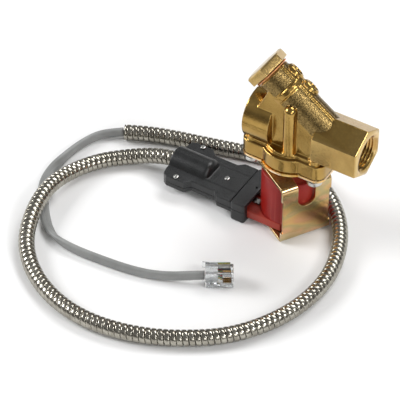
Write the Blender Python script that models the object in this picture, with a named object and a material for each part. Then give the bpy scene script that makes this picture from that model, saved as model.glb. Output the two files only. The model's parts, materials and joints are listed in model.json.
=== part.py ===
"""Solenoid valve with a built-in Y strainer, a plug-in coil lead in metal conduit and a modular plug.

Sizes are in millimetres and are scaled to metres as each mesh is made. The origin is on the coil's axis
at the underside of the yoke, +X runs along the pipe ports towards the inlet and +Z is up.
"""

import math

import bmesh
import bpy
import numpy as np
from mathutils import Matrix, Vector

MM = 0.001
GAP = 0.3

# Yoke: one folded steel strip, open at its sides and back
YOKE_TURN = -32.0
YOKE_WIDTH = 24.4
YOKE_HEIGHT = 31.5
YOKE_REACH = 8.4
SHEET = 1.5
BEND_RADIUS = 2.2
WAIST_CUT = 0.9
WAIST_LOW = 5.5
WAIST_TOP_MARGIN = 7.0
SLOT_DEPTH = 12.9

# Coil
COIL_RADIUS = 13.2
COIL_WALL = 1.6
COIL_FLOOR = 1.5
BOBBIN_WALL = 0.9
BOBBIN_FLANGE = 1.2
SHELF_REACH = 6.8
SHELF_THICK = 4.2
SHELF_PROUD = 0.25
SHELF_ROOT = -8.0
SHELF_FRONT = 3.0
SHELF_RIM = 3.6
TERMINAL_SLOT = 6.8

# Armature tube and what slides in it
PLUNGER_RADIUS = 3.3
TUBE_WALL = 0.4
TUBE_COLLAR_WALL = 1.3
TUBE_FLOOR = 0.8
NECK_MARGIN = 0.6
CORE_LENGTH = 10.0
PLUNGER_STROKE = 1.6
SPRING_WIRE = 0.6
SPRING_TURNS = 6
SPRING_POCKET = 2.2
SPRING_POCKET_DEPTH = 7.0
SHADING_GROOVE = (2.0, 2.9, 1.2)
SHADING_INSET = 0.15
POPPET_RADIUS = 2.4
POPPET_TAPER = 1.6
SEAL_RADIUS = 1.6
SEAL_HEIGHT = 1.6

# Flange, bonnet plate and screws
PLATE_STANDOFF = 4.7
PLATE_THICK = 1.2
FLANGE_THICK = 7.3
EAR_LENGTH = 20.5
EAR_WIDTH = 10.8
EAR_CORNER = 4.5
BULGE_RADIUS = 13.8
SCREW_X = 15.6
SCREW_Y = 7.4
SCREW_RADIUS = 1.6
SCREW_HEAD_RADIUS = 3.7
SCREW_HEAD_HEIGHT = 2.6
SCREW_GRIP = 5.0
SCREW_EDGE = 0.7
SCREW_SOCKET_RADIUS = 1.5
SCREW_SOCKET_DEPTH = 1.3
HOLE_BOTTOM = 0.5
PLATE_LIP = 0.5

# Valve body
PORT_RISE = 9.5
INLET_END = 37.0
OUTLET_END = -19.0
HEX_FLATS = 21.4
HEX_START = 14.5
HEX_CHAMFER = 1.6
OUTLET_RADIUS = 12.2
OUTLET_ROOT = -6.0
OUTLET_PASSAGE = 4.8
SOCKET_RADIUS = 8.2
SOCKET_TAPER = 0.4
SOCKET_DEPTH = 11.5
SLAB_THICK = 16.0
SLAB_BACK = -14.0
SLAB_BREAK = -8.0
SLAB_FRONT = 17.5
SLAB_SHOULDER = 8.0
SLAB_DROP = 0.7
BARREL_SLOPE = 35.0
BARREL_ROOT = 23.2
BARREL_LENGTH = 41.6
BARREL_RADIUS = 7.7
BARREL_START = 4.0
BARREL_RING = 0.7
RING_LOW = 30.5
RING_HIGH = 33.0
STRAINER_WALL = 2.1
STRAINER_START = 14.0
PASSAGE_WALL = 3.1
CAP_THREAD_WALL = 1.5
CAP_THREAD_LENGTH = 8.0
CAP_OVERHANG = 1.05
CAP_HEIGHT = 4.3
CAP_CHAMFER = 1.2
CAP_WALL = 1.6
CAP_HOLLOW_TOP = -1.5
SCREEN_WALL = 0.5
SCREEN_CLEARANCE = 2.4
GASKET_THICK = 0.8
PAD_RADIUS = 4.3
PAD_PROUD = 1.5
PAD_SPOTS = (26.0, 35.5)
PAD_SIDE = (0.45, 0.62, 0.64)
PILOT_RADIUS = 3.0
PILOT_X = 3.2
PILOT_PROUD = 0.6
PILOT_RISE = 27.0

# Diaphragm chamber
CHAMBER_RADIUS = 10.5
CHAMBER_DEPTH = 5.8
SEAT_RADIUS = 4.4
SEAT_BORE = 3.0
SEAT_DROP = 1.4
BLEED_X = 7.6
BLEED_RADIUS = 1.7
DIAPHRAGM_THICK = 1.2
DIAPHRAGM_RIM = 1.4
DIAPHRAGM_CONVOLUTION = (7.2, 8.6, 9.2, 7.4)
PILOT_HOLE = 0.9
SUPPORT_RADIUS = 6.0
SUPPORT_THICK = 1.0

# Plug-in connector on the coil, and the ferrule that grips the conduit
CONNECTOR_Y = -3.6
COLLAR_STANDOFF = 1.0
COLLAR_LENGTH = 7.4
COLLAR_INSET = 0.2
COLLAR_CORNER = 1.4
COLLAR_PROUD = 0.4
COLLAR_HOLE = (1.9, 1.3, 0.6)
COLLAR_BOTTOM = 0.4
REAR_LENGTH = 14.6
FRONT_HALF = 12.6
MIDDLE_HALF = 10.3
REAR_HALF = 13.2
END_HALF = 8.6
FRONT_LENGTH = 9.8
MIDDLE_LENGTH = 12.2
SIDE_SLANT = 2.6
CONNECTOR_BOTTOM = 4.0
CONNECTOR_TOP = 10.0
PARTING = 6.4
SHELL_WALL = 1.2
SHELL_FLOOR = 0.9
HUMP_WALL = 3.35
HUMP_LENGTH = 20.2
HUMP_ROUND = 2.5
BELLY_WALL = 2.15
TAB_WIDTH = 2.8
TAB_THICK = 0.8
TAB_SPACING = 5.6
TAB_REACH = 7.0
CONTACT_WALL = 0.3
CONTACT_REACH = 4.2
FERRULE_WALL = 0.6
FERRULE_INSET = 4.0
FERRULE_LENGTH = 5.2
RIVET_RADIUS = 0.8
RIVET_HEAD = 1.3
RIVET_HEAD_HEIGHT = 0.55
RIVET_SPOTS = ((7.3, 11.6), (7.3, -11.6), (27.6, -0.5))
RIVET_POST = 1.8

# Cords
CONDUIT_RADIUS = 3.65
CONDUIT_AXIS = 8.0
CONDUIT_LIFT = 0.1
CABLE_WIDTH = 4.8
CABLE_THICK = 2.4

# Modular plug, which lies on its narrow side
PLUG_LENGTH = 12.2
PLUG_WIDTH = 9.65
PLUG_THICK = 6.5
PLUG_ANGLE = 32.0
PLUG_X = -9.45
PLUG_Y = -56.75
PLUG_WAYS = 4
PLUG_PITCH = 1.02
PLUG_REST = 0.1
BLADE_LENGTH = 3.6
BLADE_THICK = 0.34
BLADE_HEIGHT = 3.2
BLADE_INSET = 0.9
BLADE_SLOT = 0.17
CABLE_POCKET = 5.4
LATCH_THICK = 0.9
LATCH_LENGTH = 12.4
LATCH_WIDTH = 3.2
LATCH_ANGLE = 13.0
LATCH_ROOT = 1.4
LATCH_STEP = (3.0, 5.2, 6.2, 0.5)

# Heights and radii that follow from the sizes above
TUBE_INSIDE = PLUNGER_RADIUS + GAP
NECK_RADIUS = TUBE_INSIDE + TUBE_WALL
SLOT_HALF = NECK_RADIUS + GAP
TUBE_RADIUS = TUBE_INSIDE + TUBE_COLLAR_WALL
COIL_BORE = TUBE_RADIUS + GAP
FACE_X = COIL_RADIUS + GAP + SHEET
COIL_BOTTOM = SHEET + GAP
COIL_TOP = YOKE_HEIGHT - SHEET - GAP
TUBE_BOTTOM = SHEET + GAP
PLATE_BOTTOM = YOKE_HEIGHT + PLATE_STANDOFF
PLATE_TOP = PLATE_BOTTOM + PLATE_THICK
FLANGE_BOTTOM = PLATE_TOP + GAP
FLANGE_TOP = FLANGE_BOTTOM + FLANGE_THICK
PORT_HEIGHT = FLANGE_TOP + PORT_RISE
PILOT_TOP = FLANGE_TOP + PILOT_RISE
STRAINER_BORE = BARREL_RADIUS - STRAINER_WALL
INLET_PASSAGE = BARREL_RADIUS - PASSAGE_WALL
CAP_THREAD_RADIUS = BARREL_RADIUS - CAP_THREAD_WALL
CAP_FLATS = 2 * (BARREL_RADIUS + CAP_OVERHANG)
CHAMBER_TOP = FLANGE_BOTTOM + CHAMBER_DEPTH
SEAT_LEVEL = CHAMBER_TOP - SEAT_DROP
CORE_BOTTOM = TUBE_BOTTOM + TUBE_FLOOR + GAP
CORE_TOP = CORE_BOTTOM + CORE_LENGTH
PLUNGER_BOTTOM = CORE_TOP + GAP + PLUNGER_STROKE
SHELF_TOP = COIL_BOTTOM + SHELF_THICK
SHELF_LENGTH = COIL_RADIUS + SHELF_REACH
COLLAR_FRONT = -COIL_RADIUS - COLLAR_STANDOFF
COLLAR_BACK = COLLAR_FRONT - COLLAR_LENGTH
COLLAR_WIDTH = 2 * (COIL_RADIUS - COLLAR_INSET)
MIDDLE_FROM = COLLAR_BACK - FRONT_LENGTH
MIDDLE_TO = MIDDLE_FROM - MIDDLE_LENGTH
CONNECTOR_END = MIDDLE_TO - REAR_LENGTH
HUMP_RADIUS = CONDUIT_RADIUS + HUMP_WALL
BELLY_RADIUS = CONDUIT_RADIUS + BELLY_WALL
TAB_END = -SHELF_LENGTH - TAB_REACH
CONTACT_FRONT = -SHELF_LENGTH - CONTACT_REACH
CONDUIT_REST = CONDUIT_RADIUS + CONDUIT_LIFT
CONDUIT_START = CONDUIT_AXIS - CONDUIT_REST
TAB_BOTTOM = SHELF_TOP + GAP

# The yoke's corner that the conduit passes closely
yoke_angle = math.radians(YOKE_TURN)
CORNER_X = FACE_X * math.cos(yoke_angle) - YOKE_WIDTH / 2 * math.sin(yoke_angle) + CONDUIT_RADIUS
CORNER_Y = FACE_X * math.sin(yoke_angle) + YOKE_WIDTH / 2 * math.cos(yoke_angle)

ROUND = 40
SMALL_ROUND = 20
MANIFOLD_SOLIDS = ("valve_body", "connector_lower_shell", "connector_upper_shell")
BARREL_AXIS = Vector((-math.cos(math.radians(BARREL_SLOPE)), 0.0, math.sin(math.radians(BARREL_SLOPE))))

CONDUIT_ROUTE = [
    (CONNECTOR_END + 8.2, CONNECTOR_Y, CONDUIT_START), (CONNECTOR_END - 1.8, CONNECTOR_Y, CONDUIT_START),
    (CONNECTOR_END - 12.0, CONNECTOR_Y - 2.0, 2.65), (-80.6, -10.4, 0.55), (-89.6, -18.6, 0.05),
    (-96.0, -31.0, 0.85), (-98.2, -47.0, 2.75), (-95.4, -63.8, 2.75), (-88.6, -79.5, 0.85),
    (-78.2, -90.9, 0.0), (-65.0, -99.2, 0.0), (-51.2, -103.8, 0.0), (-36.6, -104.9, 0.0),
    (-21.9, -102.6, 0.0), (-7.6, -97.5, 0.0), (4.8, -90.4, 0.0), (16.0, -81.6, 0.0), (24.6, -70.8, 0.0),
    (31.0, -58.4, 0.0), (35.0, -44.0, 0.0), (35.5, -27.2, 0.0), (CORNER_X + 8.36, CORNER_Y - 12.90, 0.0),
    (CORNER_X + 1.16, CORNER_Y + 0.40, 0.0), (CORNER_X - 8.14, CORNER_Y + 10.80, 0.0), (3.0, 21.2, 0.0),
    (-10.0, 25.2, 0.0), (-24.0, 24.4, 0.0), (-37.4, 21.4, 0.0), (-50.0, 18.0, 0.0), (-62.0, 14.8, 0.0),
    (-73.4, 11.6, 0.0), (-84.0, 7.6, 0.0), (-91.6, 3.9, 0.0),
]
CABLE_ROUTE = [
    (-92.0, 3.7, 3.75, 0.0), (-97.0, 1.0, 2.8, 0.0), (-101.4, -3.4, 2.5, 0.0),
    (-104.0, -9.4, 2.5, 0.0), (-105.7, -16.4, 2.5, 0.0), (-106.6, -24.8, 2.4, 15.0),
    (-106.9, -33.4, 1.9, 55.0), (-105.3, -42.0, 1.3, 90.0), (-101.2, -49.2, 1.3, 90.0),
    (-96.2, -55.8, 1.3, 90.0), (-90.6, -62.2, 1.4, 85.0), (-84.2, -67.6, 1.9, 55.0),
    (-76.4, -70.8, 2.4, 15.0), (-66.8, -71.7, 2.5, 0.0), (-55.0, -71.0, 2.5, 0.0),
    (-42.4, -69.6, 2.5, 0.0), (-30.6, -66.8, 2.6, 0.0), (-20.2, -62.6, 3.6, 0.0),
    (-13.4, -59.2, 4.7, 0.0), (-9.7, -56.9, 4.8, 0.0),
]

for old in list(bpy.data.objects):
    bpy.data.objects.remove(old, do_unlink=True)


def material(name, colour, roughness, metallic=0.0, alpha=1.0):
    made = bpy.data.materials.new(name)
    made.use_nodes = True
    shader = made.node_tree.nodes["Principled BSDF"]
    shader.inputs["Base Color"].default_value = (*colour, 1.0)
    shader.inputs["Roughness"].default_value = roughness
    shader.inputs["Metallic"].default_value = metallic
    shader.inputs["Alpha"].default_value = alpha
    return made


BRASS = material("brass", (0.75, 0.53, 0.18), 0.24, 1.0)
DICHROMATE = material("yellow_zinc", (0.72, 0.60, 0.34), 0.28, 1.0)
ZINC = material("bright_zinc", (0.72, 0.74, 0.75), 0.25, 1.0)
STAINLESS = material("stainless", (0.60, 0.59, 0.56), 0.26, 1.0)
COPPER = material("copper", (0.80, 0.42, 0.24), 0.30, 1.0)
RED_RESIN = material("red_resin", (0.52, 0.05, 0.03), 0.38)
BLACK_PLASTIC = material("black_plastic", (0.03, 0.03, 0.035), 0.42)
RUBBER = material("rubber", (0.03, 0.03, 0.03), 0.75)
GASKET_FIBRE = material("gasket", (0.72, 0.34, 0.14), 0.60)
NATURAL_PLASTIC = material("natural_plastic", (0.82, 0.80, 0.74), 0.45)
CLEAR_PLASTIC = material("clear_plastic", (0.86, 0.90, 0.92), 0.08, 0.0, 0.45)
GREY_PVC = material("grey_pvc", (0.40, 0.41, 0.43), 0.50)
GOLD = material("gold_contact", (0.90, 0.66, 0.26), 0.22, 1.0)
MAGNET_STEEL = material("core_steel", (0.56, 0.56, 0.57), 0.35, 1.0)


def empty(name, location=(0, 0, 0), turn=None, parent=None):
    """A joint's axis or a group's place, in the world."""
    made = bpy.data.objects.new(name, None)
    bpy.context.scene.collection.objects.link(made)
    made.parent = parent
    place = Matrix.Translation(Vector(location) * MM)
    made.matrix_world = place @ turn if turn is not None else place
    bpy.context.view_layer.update()
    return made


def thing(name, mesh, finish=None, parent=None, helper=False):
    """An object from a bmesh drawn in millimetres, in its parent's frame."""
    bmesh.ops.remove_doubles(mesh, verts=mesh.verts, dist=1e-4)
    bmesh.ops.recalc_face_normals(mesh, faces=mesh.faces)
    bmesh.ops.scale(mesh, vec=(MM, MM, MM), verts=mesh.verts)
    data = bpy.data.meshes.new(name)
    mesh.to_mesh(data)
    mesh.free()
    made = bpy.data.objects.new(name, data)
    bpy.context.scene.collection.objects.link(made)
    made.parent = parent
    if helper:
        made.hide_render = True
        made.display_type = "WIRE"
        return made
    data.materials.append(finish)
    data.shade_smooth()
    data.set_sharp_from_angle(angle=math.radians(35))
    return made


def change(target, mesh, operation):
    """A Boolean with a mesh drawn in the target's frame. The castings and mouldings need MANIFOLD."""
    number = len(target.modifiers)
    tool = thing(f"{operation.lower()}_{target.name}_{number}", mesh, parent=target.parent, helper=True)
    modifier = target.modifiers.new(tool.name, "BOOLEAN")
    modifier.operation = operation
    modifier.solver = "MANIFOLD" if target.name in MANIFOLD_SOLIDS else "EXACT"
    modifier.object = tool


def cut(target, *meshes):
    for mesh in meshes:
        change(target, mesh, "DIFFERENCE")


def join(target, *meshes):
    for mesh in meshes:
        change(target, mesh, "UNION")


def turned(profile, segments=ROUND, base=(0, 0, 0), axis=(0, 0, 1), phase=0.0):
    """A closed profile of (radius, height) points, turned about an axis through base."""
    mesh = bmesh.new()
    turn = Vector((0, 0, 1)).rotation_difference(Vector(axis))
    frame = Matrix.Translation(base) @ turn.to_matrix().to_4x4()
    rings = []
    for radius, height in profile:
        if radius < 1e-6:
            rings.append([mesh.verts.new(frame @ Vector((0, 0, height)))])
            continue
        angles = [phase + 2 * math.pi * step / segments for step in range(segments)]
        places = [(radius * math.cos(angle), radius * math.sin(angle), height) for angle in angles]
        rings.append([mesh.verts.new(frame @ Vector(place)) for place in places])
    for low, high in zip(rings, rings[1:] + rings[:1]):
        for step in range(segments):
            after = (step + 1) % segments
            corners = [low[step % len(low)], low[after % len(low)]]
            corners += [high[after % len(high)], high[step % len(high)]]
            corners = list(dict.fromkeys(corners))
            if len(corners) > 2:
                mesh.faces.new(corners)
    return mesh


def rod(radius, low, high, segments=ROUND, base=(0, 0, 0), axis=(0, 0, 1), phase=0.0):
    return turned([(0, low), (radius, low), (radius, high), (0, high)], segments, base, axis, phase)


def ring(inner, outer, low, high, segments=ROUND, base=(0, 0, 0), axis=(0, 0, 1)):
    return turned([(inner, low), (outer, low), (outer, high), (inner, high)], segments, base, axis)


def hexagon(flats, low, high, chamfer, base=(0, 0, 0), axis=(0, 0, 1), phase=0.0):
    """A hexagonal bar whose outer end is turned to a chamfer."""
    corner = flats / math.sqrt(3)
    profile = [(0, low), (corner, low), (corner, high - chamfer * 0.5), (corner - chamfer, high), (0, high)]
    return turned(profile, 6, base, axis, phase)


def box(x0, x1, y0, y1, z0, z1):
    mesh = bmesh.new()
    bmesh.ops.create_cube(mesh, size=1.0)
    bmesh.ops.scale(mesh, vec=(x1 - x0, y1 - y0, z1 - z0), verts=mesh.verts)
    bmesh.ops.translate(mesh, vec=((x0 + x1) / 2, (y0 + y1) / 2, (z0 + z1) / 2), verts=mesh.verts)
    return mesh


def prism(outline, low, high, place=lambda u, v, w: (u, v, w)):
    """An outline in two directions, extruded along the third."""
    mesh = bmesh.new()
    bottom = [mesh.verts.new(place(u, v, low)) for u, v in outline]
    top = [mesh.verts.new(place(u, v, high)) for u, v in outline]
    mesh.faces.new(bottom)
    mesh.faces.new(top)
    count = len(outline)
    for step in range(count):
        after = (step + 1) % count
        mesh.faces.new([bottom[step], bottom[after], top[after], top[step]])
    return mesh


def arc(centre, radius, start, end, steps=6):
    angles = [math.radians(start + (end - start) * step / steps) for step in range(steps + 1)]
    return [(centre[0] + radius * math.cos(a), centre[1] + radius * math.sin(a)) for a in angles]


def rounded_rectangle(half_u, half_v, radius):
    u, v = half_u - radius, half_v - radius
    corners = [((u, v), 0), ((-u, v), 90), ((-u, -v), 180), ((u, -v), 270)]
    return [point for centre, start in corners for point in arc(centre, radius, start, start + 90)]


def across_y(u, v, w):
    return (u, w, v)


def across_x(u, v, w):
    return (w, u, v)


# ---------------------------------------------------------------- yoke and coil

yoke_place = empty("yoke_place", turn=Matrix.Rotation(math.radians(YOKE_TURN), 4, "Z"))
outer_x, inner_x = FACE_X, FACE_X - SHEET
inner_bend = BEND_RADIUS - SHEET
yoke_outline = [(-YOKE_REACH, 0.0)]
yoke_outline += arc((outer_x - BEND_RADIUS, BEND_RADIUS), BEND_RADIUS, -90, 0)
yoke_outline += arc((outer_x - BEND_RADIUS, YOKE_HEIGHT - BEND_RADIUS), BEND_RADIUS, 0, 90)
yoke_outline += [(-YOKE_REACH, YOKE_HEIGHT), (-YOKE_REACH, YOKE_HEIGHT - SHEET)]
yoke_outline += arc((inner_x - inner_bend, YOKE_HEIGHT - SHEET - inner_bend), inner_bend, 90, 0, 3)
yoke_outline += arc((inner_x - inner_bend, SHEET + inner_bend), inner_bend, 0, -90, 3)
yoke_outline += [(-YOKE_REACH, SHEET)]
half = YOKE_WIDTH / 2
yoke = thing("yoke_frame", prism(yoke_outline, -half, half, across_y), DICHROMATE, yoke_place)
slot_floor = YOKE_HEIGHT - SLOT_DEPTH + SLOT_HALF
front_slot = arc((0, slot_floor), SLOT_HALF, 180, 360, 12)
front_slot += [(SLOT_HALF, YOKE_HEIGHT + 2), (-SLOT_HALF, YOKE_HEIGHT + 2)]
top_slot = arc((0, 0), SLOT_HALF, 90, 270, 12) + [(outer_x + 2, -SLOT_HALF), (outer_x + 2, SLOT_HALF)]
cut(yoke, prism(front_slot, inner_x - 1, outer_x + 1, across_x))
cut(yoke, prism(top_slot, YOKE_HEIGHT - SHEET - 1, YOKE_HEIGHT + 1))
for side in (-1, 1):
    edges = sorted((side * (half - WAIST_CUT), side * (half + 2)))
    cut(yoke, box(inner_x - inner_bend, outer_x + 1, *edges, WAIST_LOW, YOKE_HEIGHT - WAIST_TOP_MARGIN))

coil_place = empty("coil_place")
shell_profile = [
    (COIL_BORE, COIL_BOTTOM), (COIL_RADIUS, COIL_BOTTOM), (COIL_RADIUS, COIL_TOP),
    (COIL_RADIUS - COIL_WALL, COIL_TOP), (COIL_RADIUS - COIL_WALL, COIL_BOTTOM + COIL_FLOOR),
    (COIL_BORE, COIL_BOTTOM + COIL_FLOOR),
]
coil_shell = thing("coil_shell", turned(shell_profile, 56), RED_RESIN, coil_place)
shelf_half = COIL_RADIUS + SHELF_PROUD + CONNECTOR_Y
shelf_near, shelf_far = CONNECTOR_Y - shelf_half, CONNECTOR_Y + shelf_half
join(
    coil_shell,
    box(-SHELF_LENGTH, SHELF_ROOT, shelf_near, shelf_far, COIL_BOTTOM, SHELF_TOP),
    box(SHELF_ROOT - 1, SHELF_FRONT, shelf_near, shelf_near + SHELF_RIM, COIL_BOTTOM, SHELF_TOP),
)
bobbin_radius = COIL_RADIUS - COIL_WALL - GAP
bobbin_low = COIL_BOTTOM + COIL_FLOOR + GAP
hub = COIL_BORE + BOBBIN_WALL
cut(coil_shell, rod(COIL_RADIUS - COIL_WALL, COIL_BOTTOM + COIL_FLOOR, COIL_TOP + 1, 56))
bobbin_profile = [
    (COIL_BORE, bobbin_low), (bobbin_radius, bobbin_low), (bobbin_radius, bobbin_low + BOBBIN_FLANGE),
    (hub, bobbin_low + BOBBIN_FLANGE), (hub, COIL_TOP - BOBBIN_FLANGE),
    (bobbin_radius, COIL_TOP - BOBBIN_FLANGE), (bobbin_radius, COIL_TOP), (COIL_BORE, COIL_TOP),
]
thing("coil_bobbin", turned(bobbin_profile), RED_RESIN, coil_place)
winding_low = bobbin_low + BOBBIN_FLANGE + GAP
winding_high = COIL_TOP - BOBBIN_FLANGE - GAP
thing("coil_winding", ring(hub + GAP, bobbin_radius - GAP, winding_low, winding_high), COPPER, coil_place)

tab_root = -(bobbin_radius + GAP)
tab_top = TAB_BOTTOM + TAB_THICK
for number, side in enumerate((-1, 1), 1):
    middle = CONNECTOR_Y + side * TAB_SPACING / 2
    low_y, high_y = middle - TAB_WIDTH / 2, middle + TAB_WIDTH / 2
    window = (low_y - GAP, high_y + GAP, TAB_BOTTOM - GAP, tab_top + GAP)
    cut(coil_shell, box(-COIL_RADIUS - 2, -TERMINAL_SLOT, *window))
    tab = box(TAB_END, tab_root, low_y, high_y, TAB_BOTTOM, tab_top)
    thing(f"coil_terminal_{number}", tab, ZINC, coil_place)
    sleeve = [edge + side * CONTACT_WALL for edge, side in zip(window, (-1, 1, -1, 1))]
    contact = box(TAB_END - 1.5, CONTACT_FRONT, *sleeve)
    clip = thing(f"connector_contact_{number}", contact, GOLD, coil_place)
    cut(clip, box(TAB_END - 3, CONTACT_FRONT + 1, *window))

# ---------------------------------------------------------------- connector shells

connector_place = empty("connector_place", (0, CONNECTOR_Y, 0))
half_outline = [
    (COLLAR_BACK, FRONT_HALF), (MIDDLE_FROM + SIDE_SLANT, FRONT_HALF), (MIDDLE_FROM, MIDDLE_HALF),
    (MIDDLE_TO, MIDDLE_HALF), (MIDDLE_TO - SIDE_SLANT, REAR_HALF), (CONNECTOR_END + SIDE_SLANT, REAR_HALF),
    (CONNECTOR_END + 0.8, REAR_HALF - 1.2), (CONNECTOR_END, END_HALF),
]
connector_outline = half_outline + [(x, -y) for x, y in reversed(half_outline)]
collar_outline = rounded_rectangle((COLLAR_FRONT - COLLAR_BACK) / 2, COLLAR_WIDTH / 2, COLLAR_CORNER)
collar_middle = (COLLAR_FRONT + COLLAR_BACK) / 2
collar_outline = [(x + collar_middle, y) for x, y in collar_outline]
lower_top, upper_bottom = PARTING - GAP / 2, PARTING + GAP / 2
lower_slab = prism(connector_outline, CONNECTOR_BOTTOM, lower_top)
lower = thing("connector_lower_shell", lower_slab, BLACK_PLASTIC, connector_place)
upper_slab = prism(connector_outline, upper_bottom, CONNECTOR_TOP)
upper = thing("connector_upper_shell", upper_slab, BLACK_PLASTIC, connector_place)
join(lower, prism(collar_outline, COLLAR_BOTTOM, lower_top))
join(upper, prism(collar_outline, upper_bottom, CONNECTOR_TOP + COLLAR_PROUD))
conduit_base = (0, 0, CONDUIT_AXIS)
hump_end = CONNECTOR_END + HUMP_LENGTH
hump_profile = [(0, CONNECTOR_END), (HUMP_RADIUS, CONNECTOR_END)]
hump_profile += arc((HUMP_RADIUS - HUMP_ROUND, hump_end - HUMP_ROUND), HUMP_ROUND, 0, 90, 4)
hump_profile += [(0, hump_end)]
join(upper, turned(hump_profile, 32, conduit_base, (1, 0, 0)))
cut(upper, box(CONNECTOR_END - 5, hump_end + 5, -20, 20, -20, upper_bottom))
join(lower, rod(BELLY_RADIUS, CONNECTOR_END, hump_end, 32, conduit_base, (1, 0, 0)))
cut(lower, box(CONNECTOR_END - 5, hump_end + 5, -20, 20, lower_top, 20))

conduit_bore = CONDUIT_RADIUS + GAP
ferrule_outer = conduit_bore + FERRULE_WALL
ferrule_low = CONNECTOR_END + FERRULE_INSET
ferrule_high = ferrule_low + FERRULE_LENGTH
bore_end = hump_end - HUMP_ROUND
shelf_gap = shelf_half + GAP
socket = (-SHELF_LENGTH - GAP, COLLAR_FRONT + 2, -shelf_gap, shelf_gap)
well_half = TAB_SPACING + TAB_WIDTH / 2 + 2 * GAP + CONTACT_WALL
well = (MIDDLE_TO, -SHELF_LENGTH, -well_half, well_half)
rivet_bottom = CONNECTOR_BOTTOM + SHELL_FLOOR
for shell, floor, roof, post in (
    (lower, rivet_bottom, lower_top + 1, (rivet_bottom - GAP, lower_top)),
    (upper, upper_bottom - 1, CONNECTOR_TOP - SHELL_WALL, (upper_bottom, CONNECTOR_TOP - GAP)),
):
    cut(shell, box(*well, floor, roof))
    cut(shell, rod(conduit_bore, CONNECTOR_END - 2, bore_end, 24, conduit_base, (1, 0, 0)))
    cut(shell, rod(ferrule_outer + GAP, ferrule_low - GAP, ferrule_high + GAP, 24, conduit_base, (1, 0, 0)))
    for from_end, y in RIVET_SPOTS[2:]:
        join(shell, rod(RIVET_POST, *post, 16, (CONNECTOR_END + from_end, y, 0)))
cut(lower, box(*socket, COIL_BOTTOM - GAP, lower_top + 1))
cut(upper, box(*socket, upper_bottom - 1, CONNECTOR_TOP - SHELL_WALL))
hole_back, hole_y, hole_radius = COLLAR_HOLE
cut(upper, rod(hole_radius, upper_bottom, CONNECTOR_TOP + 2, 16, (COLLAR_FRONT - hole_back, hole_y, 0)))
ferrule = ring(conduit_bore, ferrule_outer, ferrule_low, ferrule_high, 24, conduit_base, (1, 0, 0))
thing("conduit_ferrule", ferrule, ZINC, connector_place)
for number, (from_end, y) in enumerate(RIVET_SPOTS, 1):
    x = CONNECTOR_END + from_end
    head_low = CONNECTOR_TOP + GAP
    head_top = head_low + RIVET_HEAD_HEIGHT
    profile = [(0, rivet_bottom), (RIVET_RADIUS, rivet_bottom), (RIVET_RADIUS, head_low)]
    profile += [(RIVET_HEAD, head_low), (RIVET_HEAD * 0.8, head_top - 0.1), (0, head_top)]
    thing(f"connector_rivet_{number}", turned(profile, 16, (x, y, 0)), ZINC, connector_place)
    for shell, low in ((lower, rivet_bottom - GAP), (upper, upper_bottom - 1)):
        cut(shell, rod(RIVET_RADIUS + GAP, low, CONNECTOR_TOP + 1, 16, (x, y, 0)))

# ---------------------------------------------------------------- valve body

body_axis = empty("body_swivel_axis")
ears = rounded_rectangle(EAR_LENGTH, EAR_WIDTH, EAR_CORNER)
slab_half = SLAB_THICK / 2
slope = math.tan(math.radians(BARREL_SLOPE))


def barrel_height(x):
    return PORT_HEIGHT + (BARREL_ROOT - x) * slope


barrel_base = (BARREL_ROOT, 0, PORT_HEIGHT)
port_base = (0, 0, PORT_HEIGHT)
body = thing("valve_body", prism(ears, FLANGE_BOTTOM, FLANGE_TOP), BRASS, body_axis)
slab = [(SLAB_BACK, FLANGE_TOP - 2), (SLAB_FRONT, FLANGE_TOP - 2)]
slab += [(x, barrel_height(x) - SLAB_DROP) for x in (SLAB_FRONT, SLAB_BREAK)]
slab += [(SLAB_BACK, PORT_HEIGHT + SLAB_SHOULDER)]
join(
    body,
    rod(BULGE_RADIUS, FLANGE_BOTTOM, FLANGE_TOP, 48),
    prism(slab, -slab_half, slab_half, across_y),
    rod(OUTLET_RADIUS, OUTLET_END, OUTLET_ROOT, 48, port_base, (1, 0, 0)),
    hexagon(HEX_FLATS, HEX_START, INLET_END, HEX_CHAMFER, port_base, (1, 0, 0)),
    rod(BARREL_RADIUS, BARREL_START, BARREL_LENGTH, 48, barrel_base, BARREL_AXIS),
    ring(BARREL_RADIUS - 2, BARREL_RADIUS + BARREL_RING, RING_LOW, RING_HIGH, 48, barrel_base, BARREL_AXIS),
)
pilot = [(0, FLANGE_TOP - 2), (PILOT_RADIUS, FLANGE_TOP - 2)]
pilot += arc((0, PILOT_TOP - PILOT_RADIUS), PILOT_RADIUS, 0, 90, 5)
join(body, turned(pilot, 20, (PILOT_X, -slab_half - PILOT_PROUD, 0)))
pad_top = BARREL_RADIUS + PAD_PROUD
pad = [(0, 0), (PAD_RADIUS, 0), (PAD_RADIUS, BARREL_RADIUS), (PAD_RADIUS * 0.7, pad_top - 0.3), (0, pad_top)]
for along in PAD_SPOTS:
    join(body, turned(pad, 20, Vector(barrel_base) + BARREL_AXIS * along, PAD_SIDE))

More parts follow.
